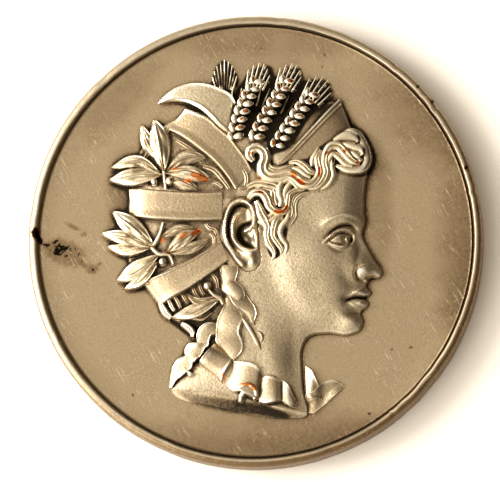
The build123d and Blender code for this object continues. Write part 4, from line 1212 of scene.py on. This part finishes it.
def awn_tree(finish):
    """A thin pointed bristle from every place, turned and as long as its numbers say."""
    work = Growth("wheat_awns", (("Thickness", "NodeSocketFloat", 0.18 * MM),))
    spin = work.node("ShaderNodeCombineXYZ", {}, {"X": math.radians(AWN_TILT), "Z": work.named("turn")})
    stretch = work.node("ShaderNodeCombineXYZ", {}, {"X": 1.0, "Y": 1.0, "Z": work.named("length")})
    cone = work.node("GeometryNodeMeshCone", {"fill_type": "NGON"}, {
        "Vertices": 8, "Side Segments": 4, "Radius Top": AWN_TIP * MM,
        "Radius Bottom": work.given("Thickness"), "Depth": MM,
    })
    return work.close(work.placed(work.given("Geometry"), cone, Rotation=spin, Scale=stretch), finish)


def make_awns(finish):
    """The fans of awns, longest in their middle."""
    points, turns, lengths = [], [], []
    for fan in AWN_FANS:
        lie = math.radians((fan.first_turn + fan.last_turn) / 2)
        for share in np.linspace(0, 1, fan.count):
            off = (share - 0.5) * fan.spread
            points.append(raised_place(fan.x + off * math.cos(lie), fan.y + off * math.sin(lie), fan.lift))
            turns.append(math.radians(fan.first_turn + (fan.last_turn - fan.first_turn) * share))
            lengths.append(fan.longest - (fan.longest - fan.shortest) * abs(2 * share - 1) ** 1.5)
    grown_piece("wheat_awns", points, awn_tree(finish), {"Thickness": AWN_THICKNESS * MM}, finish,
                numbers={"turn": turns, "length": lengths})


class MEDAL_OT_make_wheat(bpy.types.Operator):
    """Make the ears of wheat and their awns"""

    bl_idname = "medal.make_wheat"
    bl_label = "Wheat"

    def execute(self, context):
        sizes = context.scene.medal_sizes
        finish = worn_silver("wheat")
        points, chains = [], []
        for rows in EARS_OF_WHEAT:
            path = smooth_path(rows, 0.5)
            chains += [(number, number + 1) for number in range(len(points), len(points) + len(path) - 1)]
            points += [raised_place(*row) for row in path]
        values = {"Pitch": sizes.grain_pitch, "Length": sizes.grain_length, "Width": sizes.grain_width,
                  "Lean": GRAIN_LEAN, "Seed": sizes.grain_seed}
        grown_piece("wheat_grains", points, wheat_tree(finish), values, finish, chains)
        stems = [[(x, y, STEM_HALF_WIDTH, lift - STEM_DROP) for x, y, lift in rows]
                 for rows in EARS_OF_WHEAT]
        stems = [strip(rows, round_ridge) for rows in (*stems, *FAN_PADS)]
        add_piece("wheat_stems", stems, worn_silver("stems"))
        make_awns(finish)
        return {"FINISHED"}


# Folded ribbon tails: how much each bulges across, and its RibbonSection rows
TAILS = (
    (0.2, ((-4.9, -4.2, -1.8, -4.6, 0.1, 0.2), (-4.6, -5.6, -1.9, -5.6, 0.3, 0.45),
        (-4.4, -7.4, -2.4, -7.1, 0.2, 0.4))),
    (0.35, ((-4.5, -6.9, -2.4, -6.7, 0.1, 0.3), (-4.4, -8.0, -1.2, -7.8, 0.35, 0.55),
        (-3.4, -9.1, -0.8, -9.0, 0.55, 0.6), (-2.4, -9.9, -1.0, -9.7, 0.4, 0.4))),
    (0.1, ((-3.4, -8.9, -0.8, -8.3, 0.75, 0.1), (-2.7, -10.2, -0.1, -9.7, 0.75, 0.2),
        (-1.9, -11.1, 0.7, -10.9, 0.7, 0.45), (-1.0, -11.7, 0.85, -12.2, 0.55, 0.5),
        (-0.5, -12.2, 0.4, -13.5, 0.3, 0.3))),
    (0.12, ((-4.0, -9.2, -2.9, -9.6, 0.0, 0.1), (-3.95, -10.2, -2.3, -10.7, 0.15, 0.1),
        (-4.4, -11.2, -1.3, -11.9, 0.3, 0.15), (-5.1, -12.6, -1.2, -12.8, 0.1, 0.45),
        (-5.3, -13.9, -1.65, -13.9, 0.1, 0.75), (-5.3, -15.0, -1.75, -14.9, 0.45, 0.75),
        (-5.3, -15.9, -1.3, -15.9, 0.65, 0.6), (-4.9, -16.6, -1.15, -16.9, 0.45, 0.5),
        (-4.1, -17.4, -1.5, -17.8, 0.25, 0.5), (-3.3, -18.3, -2.6, -18.9, 0.1, 0.35))),
    (-0.15, ((-5.6, -16.2, -2.6, -18.3, 0.0, 0.1), (-6.3, -17.0, -3.2, -19.3, 0.75, 0.65),
        (-7.0, -17.8, -3.9, -20.4, 0.95, 0.8), (-7.5, -18.4, -4.25, -21.1, 0.85, 0.7),
        (-7.85, -18.9, -4.5, -21.9, 0.35, 0.3), (-7.75, -19.4, -4.3, -22.5, -0.3, -0.3))),
    (-0.1, ((-3.4, -18.9, -4.0, -22.3, -0.3, -0.2), (-2.7, -19.0, -3.1, -23.2, 0.1, 0.4),
        (-1.4, -19.2, -1.8, -23.5, 0.7, 0.9), (0.2, -19.5, -0.4, -24.2, 1.0, 1.0),
        (1.25, -20.2, 0.8, -24.7, 0.85, 0.8), (1.6, -21.2, 1.4, -24.6, 0.2, 0.2))),
    (0.1, ((1.3, -21.9, 1.2, -25.2, 0.0, 0.1), (2.3, -21.4, 2.2, -25.4, 0.55, 0.55),
        (3.4, -21.6, 3.4, -25.3, 0.7, 0.7), (4.4, -22.1, 4.5, -25.0, 0.4, 0.4))),
    (0.1, ((4.3, -21.9, 4.4, -25.0, -0.2, -0.1), (5.3, -22.4, 5.3, -25.6, 0.25, 0.3),
        (6.1, -23.9, 6.1, -26.0, 0.3, 0.3), (6.8, -25.4, 6.7, -26.1, 0.0, 0.0))),
    (0.0, ((-5.2, -13.1, -5.3, -14.8, 0.1, 0.2), (-6.6, -13.0, -6.1, -15.0, 0.4, 0.2),
        (-7.8, -13.8, -6.4, -15.8, 0.3, 0.2), (-8.3, -15.1, -6.6, -16.6, 0.15, 0.2),
        (-8.2, -16.1, -7.4, -16.9, 0.1, 0.2))),
    (0.0, ((-7.2, -16.2, -7.0, -16.9, 0.2, 0.3), (-8.4, -16.0, -7.7, -18.0, 0.35, 0.15),
        (-9.6, -16.2, -8.3, -18.5, 0.15, 0.2), (-10.2, -17.2, -8.7, -18.9, -0.1, 0.2),
        (-10.0, -18.1, -9.0, -19.1, -0.2, 0.2))),
    (0.0, ((-9.8, -17.8, -8.9, -18.8, 0.0, 0.25), (-11.1, -18.3, -9.1, -19.8, -0.05, 0.15),
        (-11.9, -19.3, -9.9, -20.4, -0.2, 0.15), (-12.3, -20.6, -10.8, -21.1, -0.4, 0.05),
        (-12.5, -21.9, -11.6, -21.7, -0.5, 0.0), (-12.6, -22.6, -12.2, -22.6, -0.6, -0.3))),
    (0.05, ((-10.3, -19.6, -9.7, -20.1, 0.2, 0.2), (-9.8, -20.5, -9.2, -20.5, 0.25, 0.25),
        (-9.5, -21.1, -8.8, -20.8, 0.1, 0.1))),
    (-0.1, ((8.2, -19.9, 8.2, -24.2, -0.9, -0.8), (9.1, -20.6, 8.8, -24.7, -0.5, -0.3),
        (10.1, -22.6, 9.7, -24.7, -0.5, -0.3), (11.1, -24.4, 10.9, -25.0, -0.8, -0.6))),
    (-0.15, ((8.1, -24.3, 8.3, -26.9, -0.6, -0.7), (9.6, -23.6, 9.5, -27.0, -0.2, -0.4),
        (11.0, -22.4, 11.0, -25.9, -0.4, -0.5), (12.5, -22.1, 12.6, -24.5, -0.3, -0.4),
        (14.3, -23.0, 14.2, -23.2, -0.7, -0.7))),
)
# The small curls at the end of the ribbon, the turns round the spindle and the spindle, as Section rows
SMALL_FORMS = (
    ((-2.1, -23.2, 0.25, 0.8), (-1.3, -22.8, 0.32, 1.15), (-0.2, -22.7, 0.34, 1.25),
        (0.6, -23.3, 0.34, 1.2), (0.75, -24.2, 0.3, 1.0), (0.4, -24.8, 0.2, 0.6)),
    ((-1.7, -25.1, 0.25, 0.4), (-1.4, -24.1, 0.34, 0.8), (-0.7, -23.6, 0.36, 0.95),
        (0.0, -24.1, 0.3, 0.8)),
    ((-0.1, -12.2, 0.2, 0.3), (0.2, -12.9, 0.34, 0.45), (0.5, -13.6, 0.15, 0.3)),
    ((0.8, -14.6, 0.15, 0.3), (1.4, -14.9, 0.28, 0.4), (1.7, -15.5, 0.28, 0.35), (1.5, -16.2, 0.15, 0.2)),
    ((-1.2, -12.6, 0.3, 0.5), (-0.6, -13.5, 0.42, 0.6), (0.4, -15.2, 0.4, 0.5), (1.1, -16.6, 0.36, 0.4),
        (1.5, -17.4, 0.12, 0.15)),
)


def folded(bulge):
    """The cross-section of a ribbon that bulges or sags, with fine turned edges."""
    def profile(across, along, half_width):
        edges = 0.08 * line(np.abs(across), 0.95, 0.05)
        swell = bulge * half_width ** 0.5 * (1 - across ** 2)
        return edges + swell + 0.02 * np.sin(9 * along + 2 * across)
    return profile


class MEDAL_OT_make_tails(bpy.types.Operator):
    """Make the folded ribbon tails, the small curl and the spindle at the nape"""

    bl_idname = "medal.make_tails"
    bl_label = "Ribbon tails"

    def execute(self, context):
        finish = worn_silver("tails")
        tails = [ribbon(rows, folded(bulge), spacing=0.18, columns=29) for bulge, rows in TAILS]
        add_piece("ribbon_tails", tails, finish)
        small = [strip(rows, round_ridge, spacing=0.15) for rows in SMALL_FORMS]
        add_piece("curl_and_spindle", small, finish)
        return {"FINISHED"}


# Tarnish and painted shade: what lies lower than its surroundings is dark, what stands higher is worn bright
# with a painted highlight

RASTER_STEP = 0.1
RASTER_REACH = 35.0
RASTER_SHARES = [(first / 4, second / 4) for first in range(5) for second in range(5 - first)]
# Reach and weight of each comparison of a place with its surroundings, and the last softening
RECESS_REACHES = ((0.22, 1.5), (0.6, 0.6), (1.5, 0.24))
RECESS_SOFTENING = 0.09
# Painted shade below a form that overhangs a place: how much darker it gets, and from what depth
OVERHANG_SHARE = 0.8
OVERHANG_START = 0.12
# How quickly a place that stands proud is worn bright and given a painted highlight
PROUD_GAIN = 1.6
# How strongly the tarnish and painted shade of the recesses darken some of the pieces; right of the face
# line they darken the head more
HOLLOW_SHARES = {BLANK: 0.6, "wheat_awns": 0.45, "wheat_grains": 0.75, HEAD: 0.8}
FACE_LINE = 2.0
FACE_GAIN = 0.9
# Regions keep their tarnish and painted shade up to this height above the mound
TARNISH_AND_SHADE_TOP = 0.75
TARNISH_AND_SHADE_FADE = 0.5
# Painted shade with brown tarnish on the field near the rim: how brown it is, from what radius, over what
# width and towards which side
RIM_BROWNNESS = 0.17
RIM_BROWN_START = 27.5
RIM_BROWN_WIDTH = 5.5
RIM_BROWN_SIDE = -50.0
# The dark line at the rim's foot is a painted shadow with tarnish in the groove
# The dark line where the rim rises: how far within the edge, its width, its strength, and the band
# beside it whose other recesses are left lighter
RIM_FOOT = 1.45
RIM_FOOT_WIDTH = 0.09
RIM_FOOT_SHADE_AND_TARNISH = 0.4
RIM_BAND_START = 29.5
RIM_BAND_WIDTH = 1.5
RIM_BAND_SHARE = 0.2
# The rim's crest and wall: how far within the edge they start, over what width the crest turns to the
# brown wall, the tarnish of the crest, then the painted shade of the wall, as dark tarnish and in the
# colours of the stains
CREST_REACH = 0.95
WALL_FADE = 0.10
CREST_TARNISH = 0.10
WALL_SHADE = 0.30
WALL_SHADE_AS_STAIN = 0.40
WALL_TOP = -0.5
# The underside is plain: below this height all is evenly dull
UNDERSIDE_TOP = -1.0
UNDERSIDE_HOLLOW = 0.15
UNDERSIDE_PROUD = 0.1
# Only what stands higher than this above the field is worn to bronze
BARE_FLOOR = 0.5

# Spots: middle, reach across and along, turn in degrees and level
Spot = namedtuple("Spot", "x y reach_x reach_y turn level", defaults=(1.0,))
BARE_SPOTS = table(Spot, (
    (-7.8, 9.3, 1.9, 0.75, -22), (-9.6, 8.8, 1.3, 0.4, 0), (-12.2, 9.0, 0.4, 0.3, 0),
    (-11.6, 10.7, 0.9, 0.3, 10), (-8.3, 0.9, 1.3, 0.55, 35), (-10.4, 0.3, 1.2, 0.4, 35),
    (-13.6, -0.2, 0.7, 0.4, 60), (-12.8, -2.2, 0.5, 0.3, 0), (6.6, 9.2, 1.0, 0.45, -50),
    (7.6, 8.0, 1.2, 0.6, -35), (10.5, 9.6, 0.35, 1.1, 0), (11.6, 12.4, 0.6, 0.3, 30),
    (14.4, 12.6, 0.4, 0.4, 0), (16.3, 10.8, 0.5, 0.3, 0), (4.4, 3.5, 1.25, 0.55, 5),
    (5.5, 4.1, 0.45, 0.6, -20), (1.5, 6.6, 0.6, 0.35, -10), (0.1, 12.7, 0.4, 0.3, 0),
    (1.4, 8.9, 0.3, 0.6, 10), (-0.8, -22.6, 1.4, 0.4, 0), (0.4, -23.1, 0.45, 0.7, 30),
    (-4.2, -21.2, 0.3, 1.0, 10), (-2.1, 2.7, 0.2, 0.4, 0),
))
STAIN_SPOTS = table(Spot, (
    (-33.1, 1.7, 0.75, 0.95, 0, 1.3), (-32.5, 0.7, 0.45, 0.9, 25, 1.2), (-31.6, -0.1, 0.8, 0.35, -15, 1.1),
    (-30.2, 0.4, 0.9, 0.3, 30, 1.0), (-29.4, -0.8, 1.8, 1.3, -15, 0.93), (-29.9, -1.2, 1.0, 0.7, 0, 1.0),
    (-28.6, -1.3, 3.6, 2.0, -22, 0.68), (-30.8, -1.0, 1.2, 0.5, -35, 0.66),
    (-26.2, -2.9, 2.0, 0.5, -38, 0.6), (-27.4, 2.6, 1.8, 0.4, -28, 0.48), (-25.8, 1.4, 0.6, 0.5, 0, 0.52),
    (-24.4, -3.9, 0.45, 0.4, 0, 0.95), (-24.4, -4.0, 1.1, 0.8, 0, 0.56),
    (-23.3, -3.2, 0.35, 0.25, 30, 0.85), (1.3, 29.4, 0.2, 0.2, 0), (11.2, 28.0, 0.2, 0.2, 0),
    (10.7, 26.2, 0.18, 0.18, 0), (21.3, -17.6, 0.22, 0.26, 0), (24.2, -17.4, 0.28, 0.24, 0),
    (-18.2, -23.4, 0.2, 0.2, 0), (17.9, -27.3, 0.3, 0.25, 0), (19.0, -28.2, 0.3, 0.25, 0),
    (19.6, -28.0, 0.25, 0.2, 0), (32.7, 9.8, 0.35, 0.4, 0, 1.3), (25.4, 22.5, 0.3, 0.2, 45, 1.2),
    (27.6, 20.2, 0.4, 0.25, 45, 1.3), (-24.8, -4.4, 0.2, 0.2, 0),
))
# Painted shade with tarnish: dark places and browner ones between the curls over the forehead
DARK_SPOTS = table(Spot, (
    (16.45, 14.75, 0.24, 0.6, 25, 0.75), (16.25, 13.85, 0.5, 0.2, 35, 0.75),
    (17.25, 12.6, 0.22, 0.6, 5, 0.75), (16.95, 11.75, 0.45, 0.24, 50, 0.75),
    (15.9, 11.45, 0.7, 0.14, -15, 0.6), (12.55, 11.35, 0.22, 0.55, -12, 0.8),
    (17.8, 12.0, 0.9, 2.6, 8, 0.3), (16.6, 15.6, 1.8, 0.7, -40, 0.28), (15.6, 9.9, 2.2, 0.5, 5, 0.22),
    (14.0, 14.2, 0.9, 0.12, 5, 0.6),
))
# Painted shade over broad soft places of the field, which are browner than the rest
BROWN_SPOTS = table(Spot, (
    (2, 31, 26, 5, 0), (26, 17, 7, 16, 38), (31, -2, 5, 18, 0), (4, -29.5, 20, 5.5, 0),
    (20, 4, 2.5, 12, 0), (-20, 22, 12, 4, 45), (12, 19, 3, 9, 38), (-20, 8, 3, 9, 0),
))
BROWNNESS = 0.32
# Regions where tarnish has stayed and painted shade lies low between the forms: how much, the softness of
# the edge, and the outline
DULL_AND_SHADED_REGIONS = (
    (0.55, 0.3, ((-0.6, 11.5), (-0.2, 13.9), (1.6, 14.1), (2.8, 12.6), (3.6, 10.6), (6.0, 11.6),
        (8.4, 11.6), (10.6, 13.6), (12.6, 14.6), (14.6, 15.4), (16.8, 15.0), (18.4, 12.4), (18.2, 10.0),
        (16.4, 9.3), (13.0, 9.6), (12.2, 8.2), (10.4, 6.9), (8.0, 6.4), (6.9, 4.6), (7.0, 3.0), (6.0, 1.6),
        (5.4, -0.8), (5.0, -2.6), (3.4, -3.6), (2.4, -1.6), (1.9, 1.4), (0.6, 5.2), (0.4, 7.0), (2.4, 8.2),
        (0.9, 9.6))),
    (0.3, 0.6, ((-18.6, 9.0), (-17.6, 13.2), (-14.6, 17.0), (-11.6, 16.8), (-8.6, 14.4), (-4.6, 10.6),
        (-2.2, 7.0))),
    (0.3, 0.6, ((-18.6, 3.4), (-19.4, -1.0), (-17.0, -6.2), (-12.0, -4.4), (-6.0, -1.4), (-4.6, 2.4))),
    (0.34, 0.5, ((-13.8, -10.2), (-11.8, -13.2), (-8.4, -14.6), (-5.0, -13.0), (-3.8, -9.0), (-3.6, -4.0),
        (-9.0, -7.4))),
    (0.5, 0.7, ((-3.0, 15.6), (-3.0, 20.0), (-1.6, 24.0), (0.6, 26.2), (3.0, 26.4), (3.6, 24.8),
        (5.6, 26.2), (7.4, 26.0), (7.9, 24.0), (10.4, 24.2), (12.0, 23.4), (12.2, 22.0), (9.2, 19.0),
        (5.0, 13.0), (3.2, 12.6), (2.4, 14.4))),
    (0.6, 0.3, ((-6.2, 24.0), (-5.4, 26.8), (-4.4, 27.6), (-3.0, 26.6), (-2.2, 24.0), (-3.8, 22.6))),
    (0.3, 0.8, ((-12.0, -22.9), (-9.0, -22.7), (-6.9, -22.8), (-3.9, -23.6), (-2.0, -24.5), (1.8, -25.3),
        (4.0, -26.2), (5.6, -27.4), (-0.1, -26.9), (-5.4, -26.1), (-9.5, -24.8))),
)


def dulled_and_shaded(x, y):
    """How dull each place is by the regions, with their tarnish and painted shade."""
    level = np.zeros(x.shape)
    for amount, softness, outline in DULL_AND_SHADED_REGIONS:
        inside = outline_distance(x, y, closed_path(outline, 0.5))
        level = np.maximum(level, amount * smooth_step(inside / softness + 0.5))
    return level


def spotted(x, y, spots):
    """How near each place is to the middle of a spot: its level in it, 0 away from all."""
    level = np.zeros(x.shape)
    for spot in spots:
        level = np.maximum(level, spot.level * np.exp(-np.sqrt(oval_distance(x, y, spot)) ** 3))
    return level


def piece_places(mesh):
    """A mesh's vertices in millimetres above the field."""
    flat = np.empty(len(mesh.vertices) * 3, np.float32)
    mesh.vertices.foreach_get("co", flat)
    places = flat.reshape(-1, 3) / MM
    places[:, 2] -= field_level() / MM
    return places


def drawn_heights(pieces):
    """The highest point of all pieces over each cell of a fine raster."""
    count = int(2 * RASTER_REACH / RASTER_STEP) + 1
    raster = np.zeros((count, count))
    for piece in pieces:
        piece.data.calc_loop_triangles()
        corners = np.empty(len(piece.data.loop_triangles) * 3, np.int32)
        piece.data.loop_triangles.foreach_get("vertices", corners)
        triangles = piece_places(piece.data)[corners.reshape(-1, 3)]
        first, second, third = triangles[:, 0], triangles[:, 1], triangles[:, 2]
        for share, other in RASTER_SHARES:
            point = first * (1 - share - other) + second * share + third * other
            column, row = np.rint((point[:, :2].T + RASTER_REACH) / RASTER_STEP).astype(int)
            np.maximum.at(raster, (column, row), point[:, 2])
    return raster


def read_raster(raster, places):
    """The raster's level at each place, smooth between its cells."""
    column, row = np.clip((places[:, :2].T + RASTER_REACH) / RASTER_STEP, 0, len(raster) - 1.001)
    left, low = column.astype(int), row.astype(int)
    across, along = column - left, row - low
    near = raster[left, low] * (1 - across) + raster[left + 1, low] * across
    far = raster[left, low + 1] * (1 - across) + raster[left + 1, low + 1] * across
    return near * (1 - along) + far * along


def crest_wear(piece, places):
    """How bare the crests of the grains are, a little more here and less there."""
    crest = np.empty(len(places), np.float32)
    piece.data.attributes["crest"].data.foreach_get("value", crest)
    return crest * (0.8 + 0.35 * np.sin(places[:, 0] * 2.3 + 1.7 * np.sin(places[:, 1] * 1.9)))


def surface_levels(piece, raster, recesses):
    """How hollow, proud, bare and stained each place of a piece is: tarnish and painted shade, wear and
    painted highlights, bare bronze, stains and the rim wall's painted shade.
    """
    places = piece_places(piece.data)
    edge = bpy.context.scene.medal_sizes.diameter / 2 / MM
    radius = np.hypot(places[:, 0], places[:, 1])
    turned = np.arctan2(places[:, 1], places[:, 0]) - math.radians(RIM_BROWN_SIDE)
    x, y = np.linalg.solve(np.array([DRAWN_RIGHT, DRAWN_UP]).T, (places[:, :2] - DRAWN_SHIFT).T)

    # Recesses and high points: tarnish with painted shade in the recesses and under overhangs, wear with
    # painted highlights on the high points
    hollow = read_raster(recesses, places)
    # Painted shade below overhanging forms
    overhang = read_raster(raster, places) - places[:, 2] - OVERHANG_START
    hollow += OVERHANG_SHARE * np.clip(overhang, 0, None)
    proud = np.clip(-hollow * PROUD_GAIN, 0, 1)
    hollow = hollow * HOLLOW_SHARES.get(piece.name, 1.0)
    # Deeper painted shade in the creases of the face, right of the face line
    if piece.name == HEAD:
        hollow = hollow * (1 + FACE_GAIN * smooth_step((x - FACE_LINE) / 2))
    if piece.name == BLANK:
        band = smooth_step((radius - RIM_BAND_START) / RIM_BAND_WIDTH)
        hollow = hollow * (1 - (1 - RIM_BAND_SHARE) * band)
        # Painted shadow with tarnish at the rim's foot
        hollow = hollow + RIM_FOOT_SHADE_AND_TARNISH * line(edge - RIM_FOOT, radius, RIM_FOOT_WIDTH)

    # Brown and dull places: painted shade with tarnish near the rim, over broad places of the field, between
    # the curls and low between the forms
    near_rim = smooth_step((radius - RIM_BROWN_START) / RIM_BROWN_WIDTH)
    # Painted shade with brown tarnish near the rim, strongest towards the lower right
    hollow = hollow + RIM_BROWNNESS * near_rim * smooth_step(0.6 + 0.5 * np.cos(turned))
    # Painted shade over broad places of the field
    hollow = hollow + BROWNNESS * spotted(x, y, BROWN_SPOTS)
    # Painted shade with tarnish between the curls
    hollow = np.maximum(hollow, spotted(x, y, DARK_SPOTS) * (piece.name == HAIR))
    low = smooth_step((TARNISH_AND_SHADE_TOP - places[:, 2] + mound(x, y)) / TARNISH_AND_SHADE_FADE)
    # Tarnish and painted shade low between the forms
    hollow = hollow + dulled_and_shaded(x, y) * (1 - proud) * low
    stain_and_shade = spotted(x, y, STAIN_SPOTS)

    # The rim's crest and the side wall, the wall in painted shade strongest towards the lower right
    outer = radius > edge - CREST_REACH
    wall = smooth_step((radius - edge + CREST_REACH - WALL_FADE) / WALL_FADE)
    wall = wall * np.minimum(smooth_step(0.35 + 0.75 * np.cos(turned)) + (places[:, 2] < WALL_TOP), 1)
    # Painted shade on the rim's shoulder and wall, strongest towards the lower right and on the lower wall
    # all round
    hollow = np.where(outer, CREST_TARNISH + WALL_SHADE * wall, hollow)
    proud = np.where(outer, proud * (1 - wall), proud)
    stain_and_shade = np.where(outer, np.maximum(stain_and_shade, WALL_SHADE_AS_STAIN * wall), stain_and_shade)

    worn = "crest" in piece.data.attributes
    bare = crest_wear(piece, places) if worn else spotted(x, y, BARE_SPOTS)
    front = (places[:, 2] > UNDERSIDE_TOP) | outer
    return {
        "hollow": np.where(front, np.clip(hollow, 0, 1), UNDERSIDE_HOLLOW),
        "proud": np.where(front, proud, UNDERSIDE_PROUD),
        "bare": bare * (places[:, 2] > BARE_FLOOR),
        "stain_and_shade": stain_and_shade * front,
    }


class MEDAL_OT_settle_tarnish_and_shade(bpy.types.Operator):
    """Write on every piece how hollow, proud, bare and stained each of its places is, with its painted shade
    and painted highlights
    """

    bl_idname = "medal.settle_tarnish"
    # Tarnish and wear here include painted shade and painted highlights
    bl_label = "Tarnish and wear"

    def execute(self, context):
        pieces = [piece for piece in context.scene.objects if piece.get("struck")]
        raster = drawn_heights(pieces)
        recesses = np.zeros(raster.shape)
        for reach, weight in RECESS_REACHES:
            recesses += weight * (softened(raster, RASTER_STEP, reach) - raster)
        recesses = softened(recesses, RASTER_STEP, RECESS_SOFTENING)
        for piece in pieces:
            for name, numbers in surface_levels(piece, raster, recesses).items():
                store = piece.data.attributes.new(name, "FLOAT", "POINT")
                store.data.foreach_set("value", numbers.astype(np.float32))
        return {"FINISHED"}


# Stage: the camera stands where the photo was taken from, and its lengths are in millimetres

CAMERA_TILT = 8.86
CAMERA_AZIMUTH = 25.0
CAMERA_DISTANCE = 1000.0
CAMERA_TARGET_HEIGHT = 4.0
PHOTO_SIZE = (500, 482)
FOCAL_PIXELS = 6695.4
MIDDLE_PIXEL = (255.31, 241.24)
SENSOR_WIDTH = 36.0
# The nearest that the camera sees, the floor and the lamp, in metres; the lamp's power is in watts
NEAREST_SEEN = 0.01
FLOOR_HALF = 0.6
FLOOR_ROUGHNESS = 0.6
LAMP_DIRECTION = (-0.86, 0.10, 0.60)
LAMP_DISTANCE = 0.9
LAMP_SIZE = 0.5
LAMP_POWER = 8.2
LAMP_COLOUR = (1.0, 0.98, 0.95)
# Where the room is brightest, and its colours away from there, above and there
ROOM_LEFT = (-0.93, -0.20, 0.30)
ROOM_COLOURS = ((0.08, 0.055, 0.035), (0.87, 0.765, 0.60), (3.9, 3.8, 3.6))


def add_camera():
    """The camera, with the medal where it is in the photo."""
    elevation = math.radians(90 - CAMERA_TILT)
    azimuth = math.radians(CAMERA_AZIMUTH)
    level = math.cos(elevation)
    back = Vector((math.sin(azimuth) * level, -math.cos(azimuth) * level, math.sin(elevation)))
    right = Vector((0, 1, 0)).cross(back).normalized()
    up = back.cross(right)
    pixels_per_mm = FOCAL_PIXELS / CAMERA_DISTANCE
    aim = Vector((0, 0, CAMERA_TARGET_HEIGHT))
    aim -= right * (MIDDLE_PIXEL[0] - PHOTO_SIZE[0] / 2) / pixels_per_mm
    aim += up * (MIDDLE_PIXEL[1] - PHOTO_SIZE[1] / 2) / pixels_per_mm
    data = bpy.data.cameras.new("photo_camera")
    data.sensor_fit = "HORIZONTAL"
    data.sensor_width = SENSOR_WIDTH
    data.lens = FOCAL_PIXELS / PHOTO_SIZE[0] * SENSOR_WIDTH
    data.clip_start = NEAREST_SEEN
    camera = bpy.data.objects.new("photo_camera", data)
    turn = Matrix((right, up, back)).transposed().to_4x4()
    camera.matrix_world = Matrix.Translation((aim + back * CAMERA_DISTANCE) * MM) @ turn
    bpy.context.scene.collection.objects.link(camera)
    bpy.context.scene.camera = camera


def add_lamp():
    """A round soft lamp that faces the medal from the left."""
    data = bpy.data.lights.new("window", "AREA")
    data.shape = "DISK"
    data.size = LAMP_SIZE
    data.energy = LAMP_POWER
    data.color = LAMP_COLOUR
    lamp = bpy.data.objects.new("window", data)
    direction = Vector(LAMP_DIRECTION).normalized()
    lamp.location = direction * LAMP_DISTANCE
    lamp.rotation_euler = direction.to_track_quat("Z", "Y").to_euler()
    bpy.context.scene.collection.objects.link(lamp)


def light_the_room():
    """A room that is bright low on the left, of middle brightness above and dim on the right."""
    world = bpy.data.worlds.new("soft_room")
    world.use_nodes = True
    bpy.context.scene.world = world
    room = NodeWork(world.node_tree)
    direction = room.node("ShaderNodeTexCoord", {}, {}, "Generated")
    leftness = room.vector("DOT_PRODUCT", {0: direction, 1: ROOM_LEFT}).beside("Value")
    above = room.mix(leftness.between(-0.55, 0.25), ROOM_COLOURS[0], ROOM_COLOURS[1])
    whole = room.mix(leftness.between(0.35, 0.95), above, ROOM_COLOURS[2])
    glow = room.node("ShaderNodeBackground", {}, {"Color": whole, "Strength": 1.0})
    room.node("ShaderNodeOutputWorld", {}, {"Surface": glow})


def add_floor():
    """A plain pale floor."""
    colours = bpy.context.scene.medal_colours
    mesh = bpy.data.meshes.new("floor")
    corners = [(x * FLOOR_HALF, y * FLOOR_HALF, 0) for x, y in ((-1, -1), (1, -1), (1, 1), (-1, 1))]
    mesh.from_pydata(corners, [], [(0, 1, 2, 3)])
    floor = bpy.data.objects.new("floor", mesh)
    bpy.context.scene.collection.objects.link(floor)
    finish = Finish("pale_floor")
    shade = tuple(0.9 * value for value in colours.floor)
    base = finish.mix(finish.noise(0.02, detail=2.0) * 0.05, colours.floor, shade)
    mesh.materials.append(finish.surface(base, 0.0, FLOOR_ROUGHNESS, []))


class MEDAL_OT_make_stage(bpy.types.Operator):
    """Make the plain pale floor, the soft light and the camera of the photo"""

    bl_idname = "medal.make_stage"
    bl_label = "Stage"

    def execute(self, context):
        add_floor()
        light_the_room()
        add_lamp()
        context.scene.view_settings.view_transform = "Standard"
        add_camera()
        return {"FINISHED"}


class MEDAL_PT_panel(bpy.types.Panel):
    """The medal's steps and sizes in the sidebar"""

    bl_idname = "MEDAL_PT_panel"
    bl_label = "Commemorative medal"
    bl_space_type = "VIEW_3D"
    bl_region_type = "UI"
    bl_category = "Medal"

    def draw(self, context):
        for group in (context.scene.medal_sizes, context.scene.medal_colours):
            box = self.layout.box()
            for name in group.__annotations__:
                box.prop(group, name)
        for operator in OPERATORS:
            self.layout.operator(operator.bl_idname)


OPERATORS = (
    MEDAL_OT_make_blank, MEDAL_OT_make_head, MEDAL_OT_make_hair, MEDAL_OT_make_bands, MEDAL_OT_make_laurel,
    MEDAL_OT_make_wheat, MEDAL_OT_make_tails, MEDAL_OT_settle_tarnish_and_shade, MEDAL_OT_make_stage,
)
CLASSES = (MedalSizes, MedalColours, *OPERATORS, MEDAL_PT_panel)


def register():
    for kind in CLASSES:
        bpy.utils.register_class(kind)
    bpy.types.Scene.medal_sizes = PointerProperty(type=MedalSizes)
    bpy.types.Scene.medal_colours = PointerProperty(type=MedalColours)


def unregister():
    del bpy.types.Scene.medal_colours
    del bpy.types.Scene.medal_sizes
    for kind in reversed(CLASSES):
        bpy.utils.unregister_class(kind)


def corners(bounds):
    """A box as plain lists of numbers."""
    return [[float(value) for value in corner] for corner in bounds]


def main():
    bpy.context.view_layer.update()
    register()
    for operator in OPERATORS:
        result = getattr(bpy.ops.medal, operator.bl_idname.split(".")[1])()
        if result != {"FINISHED"}:
            raise RuntimeError(f"{operator.bl_label} did not finish")


if __name__ == "__main__":
    main()
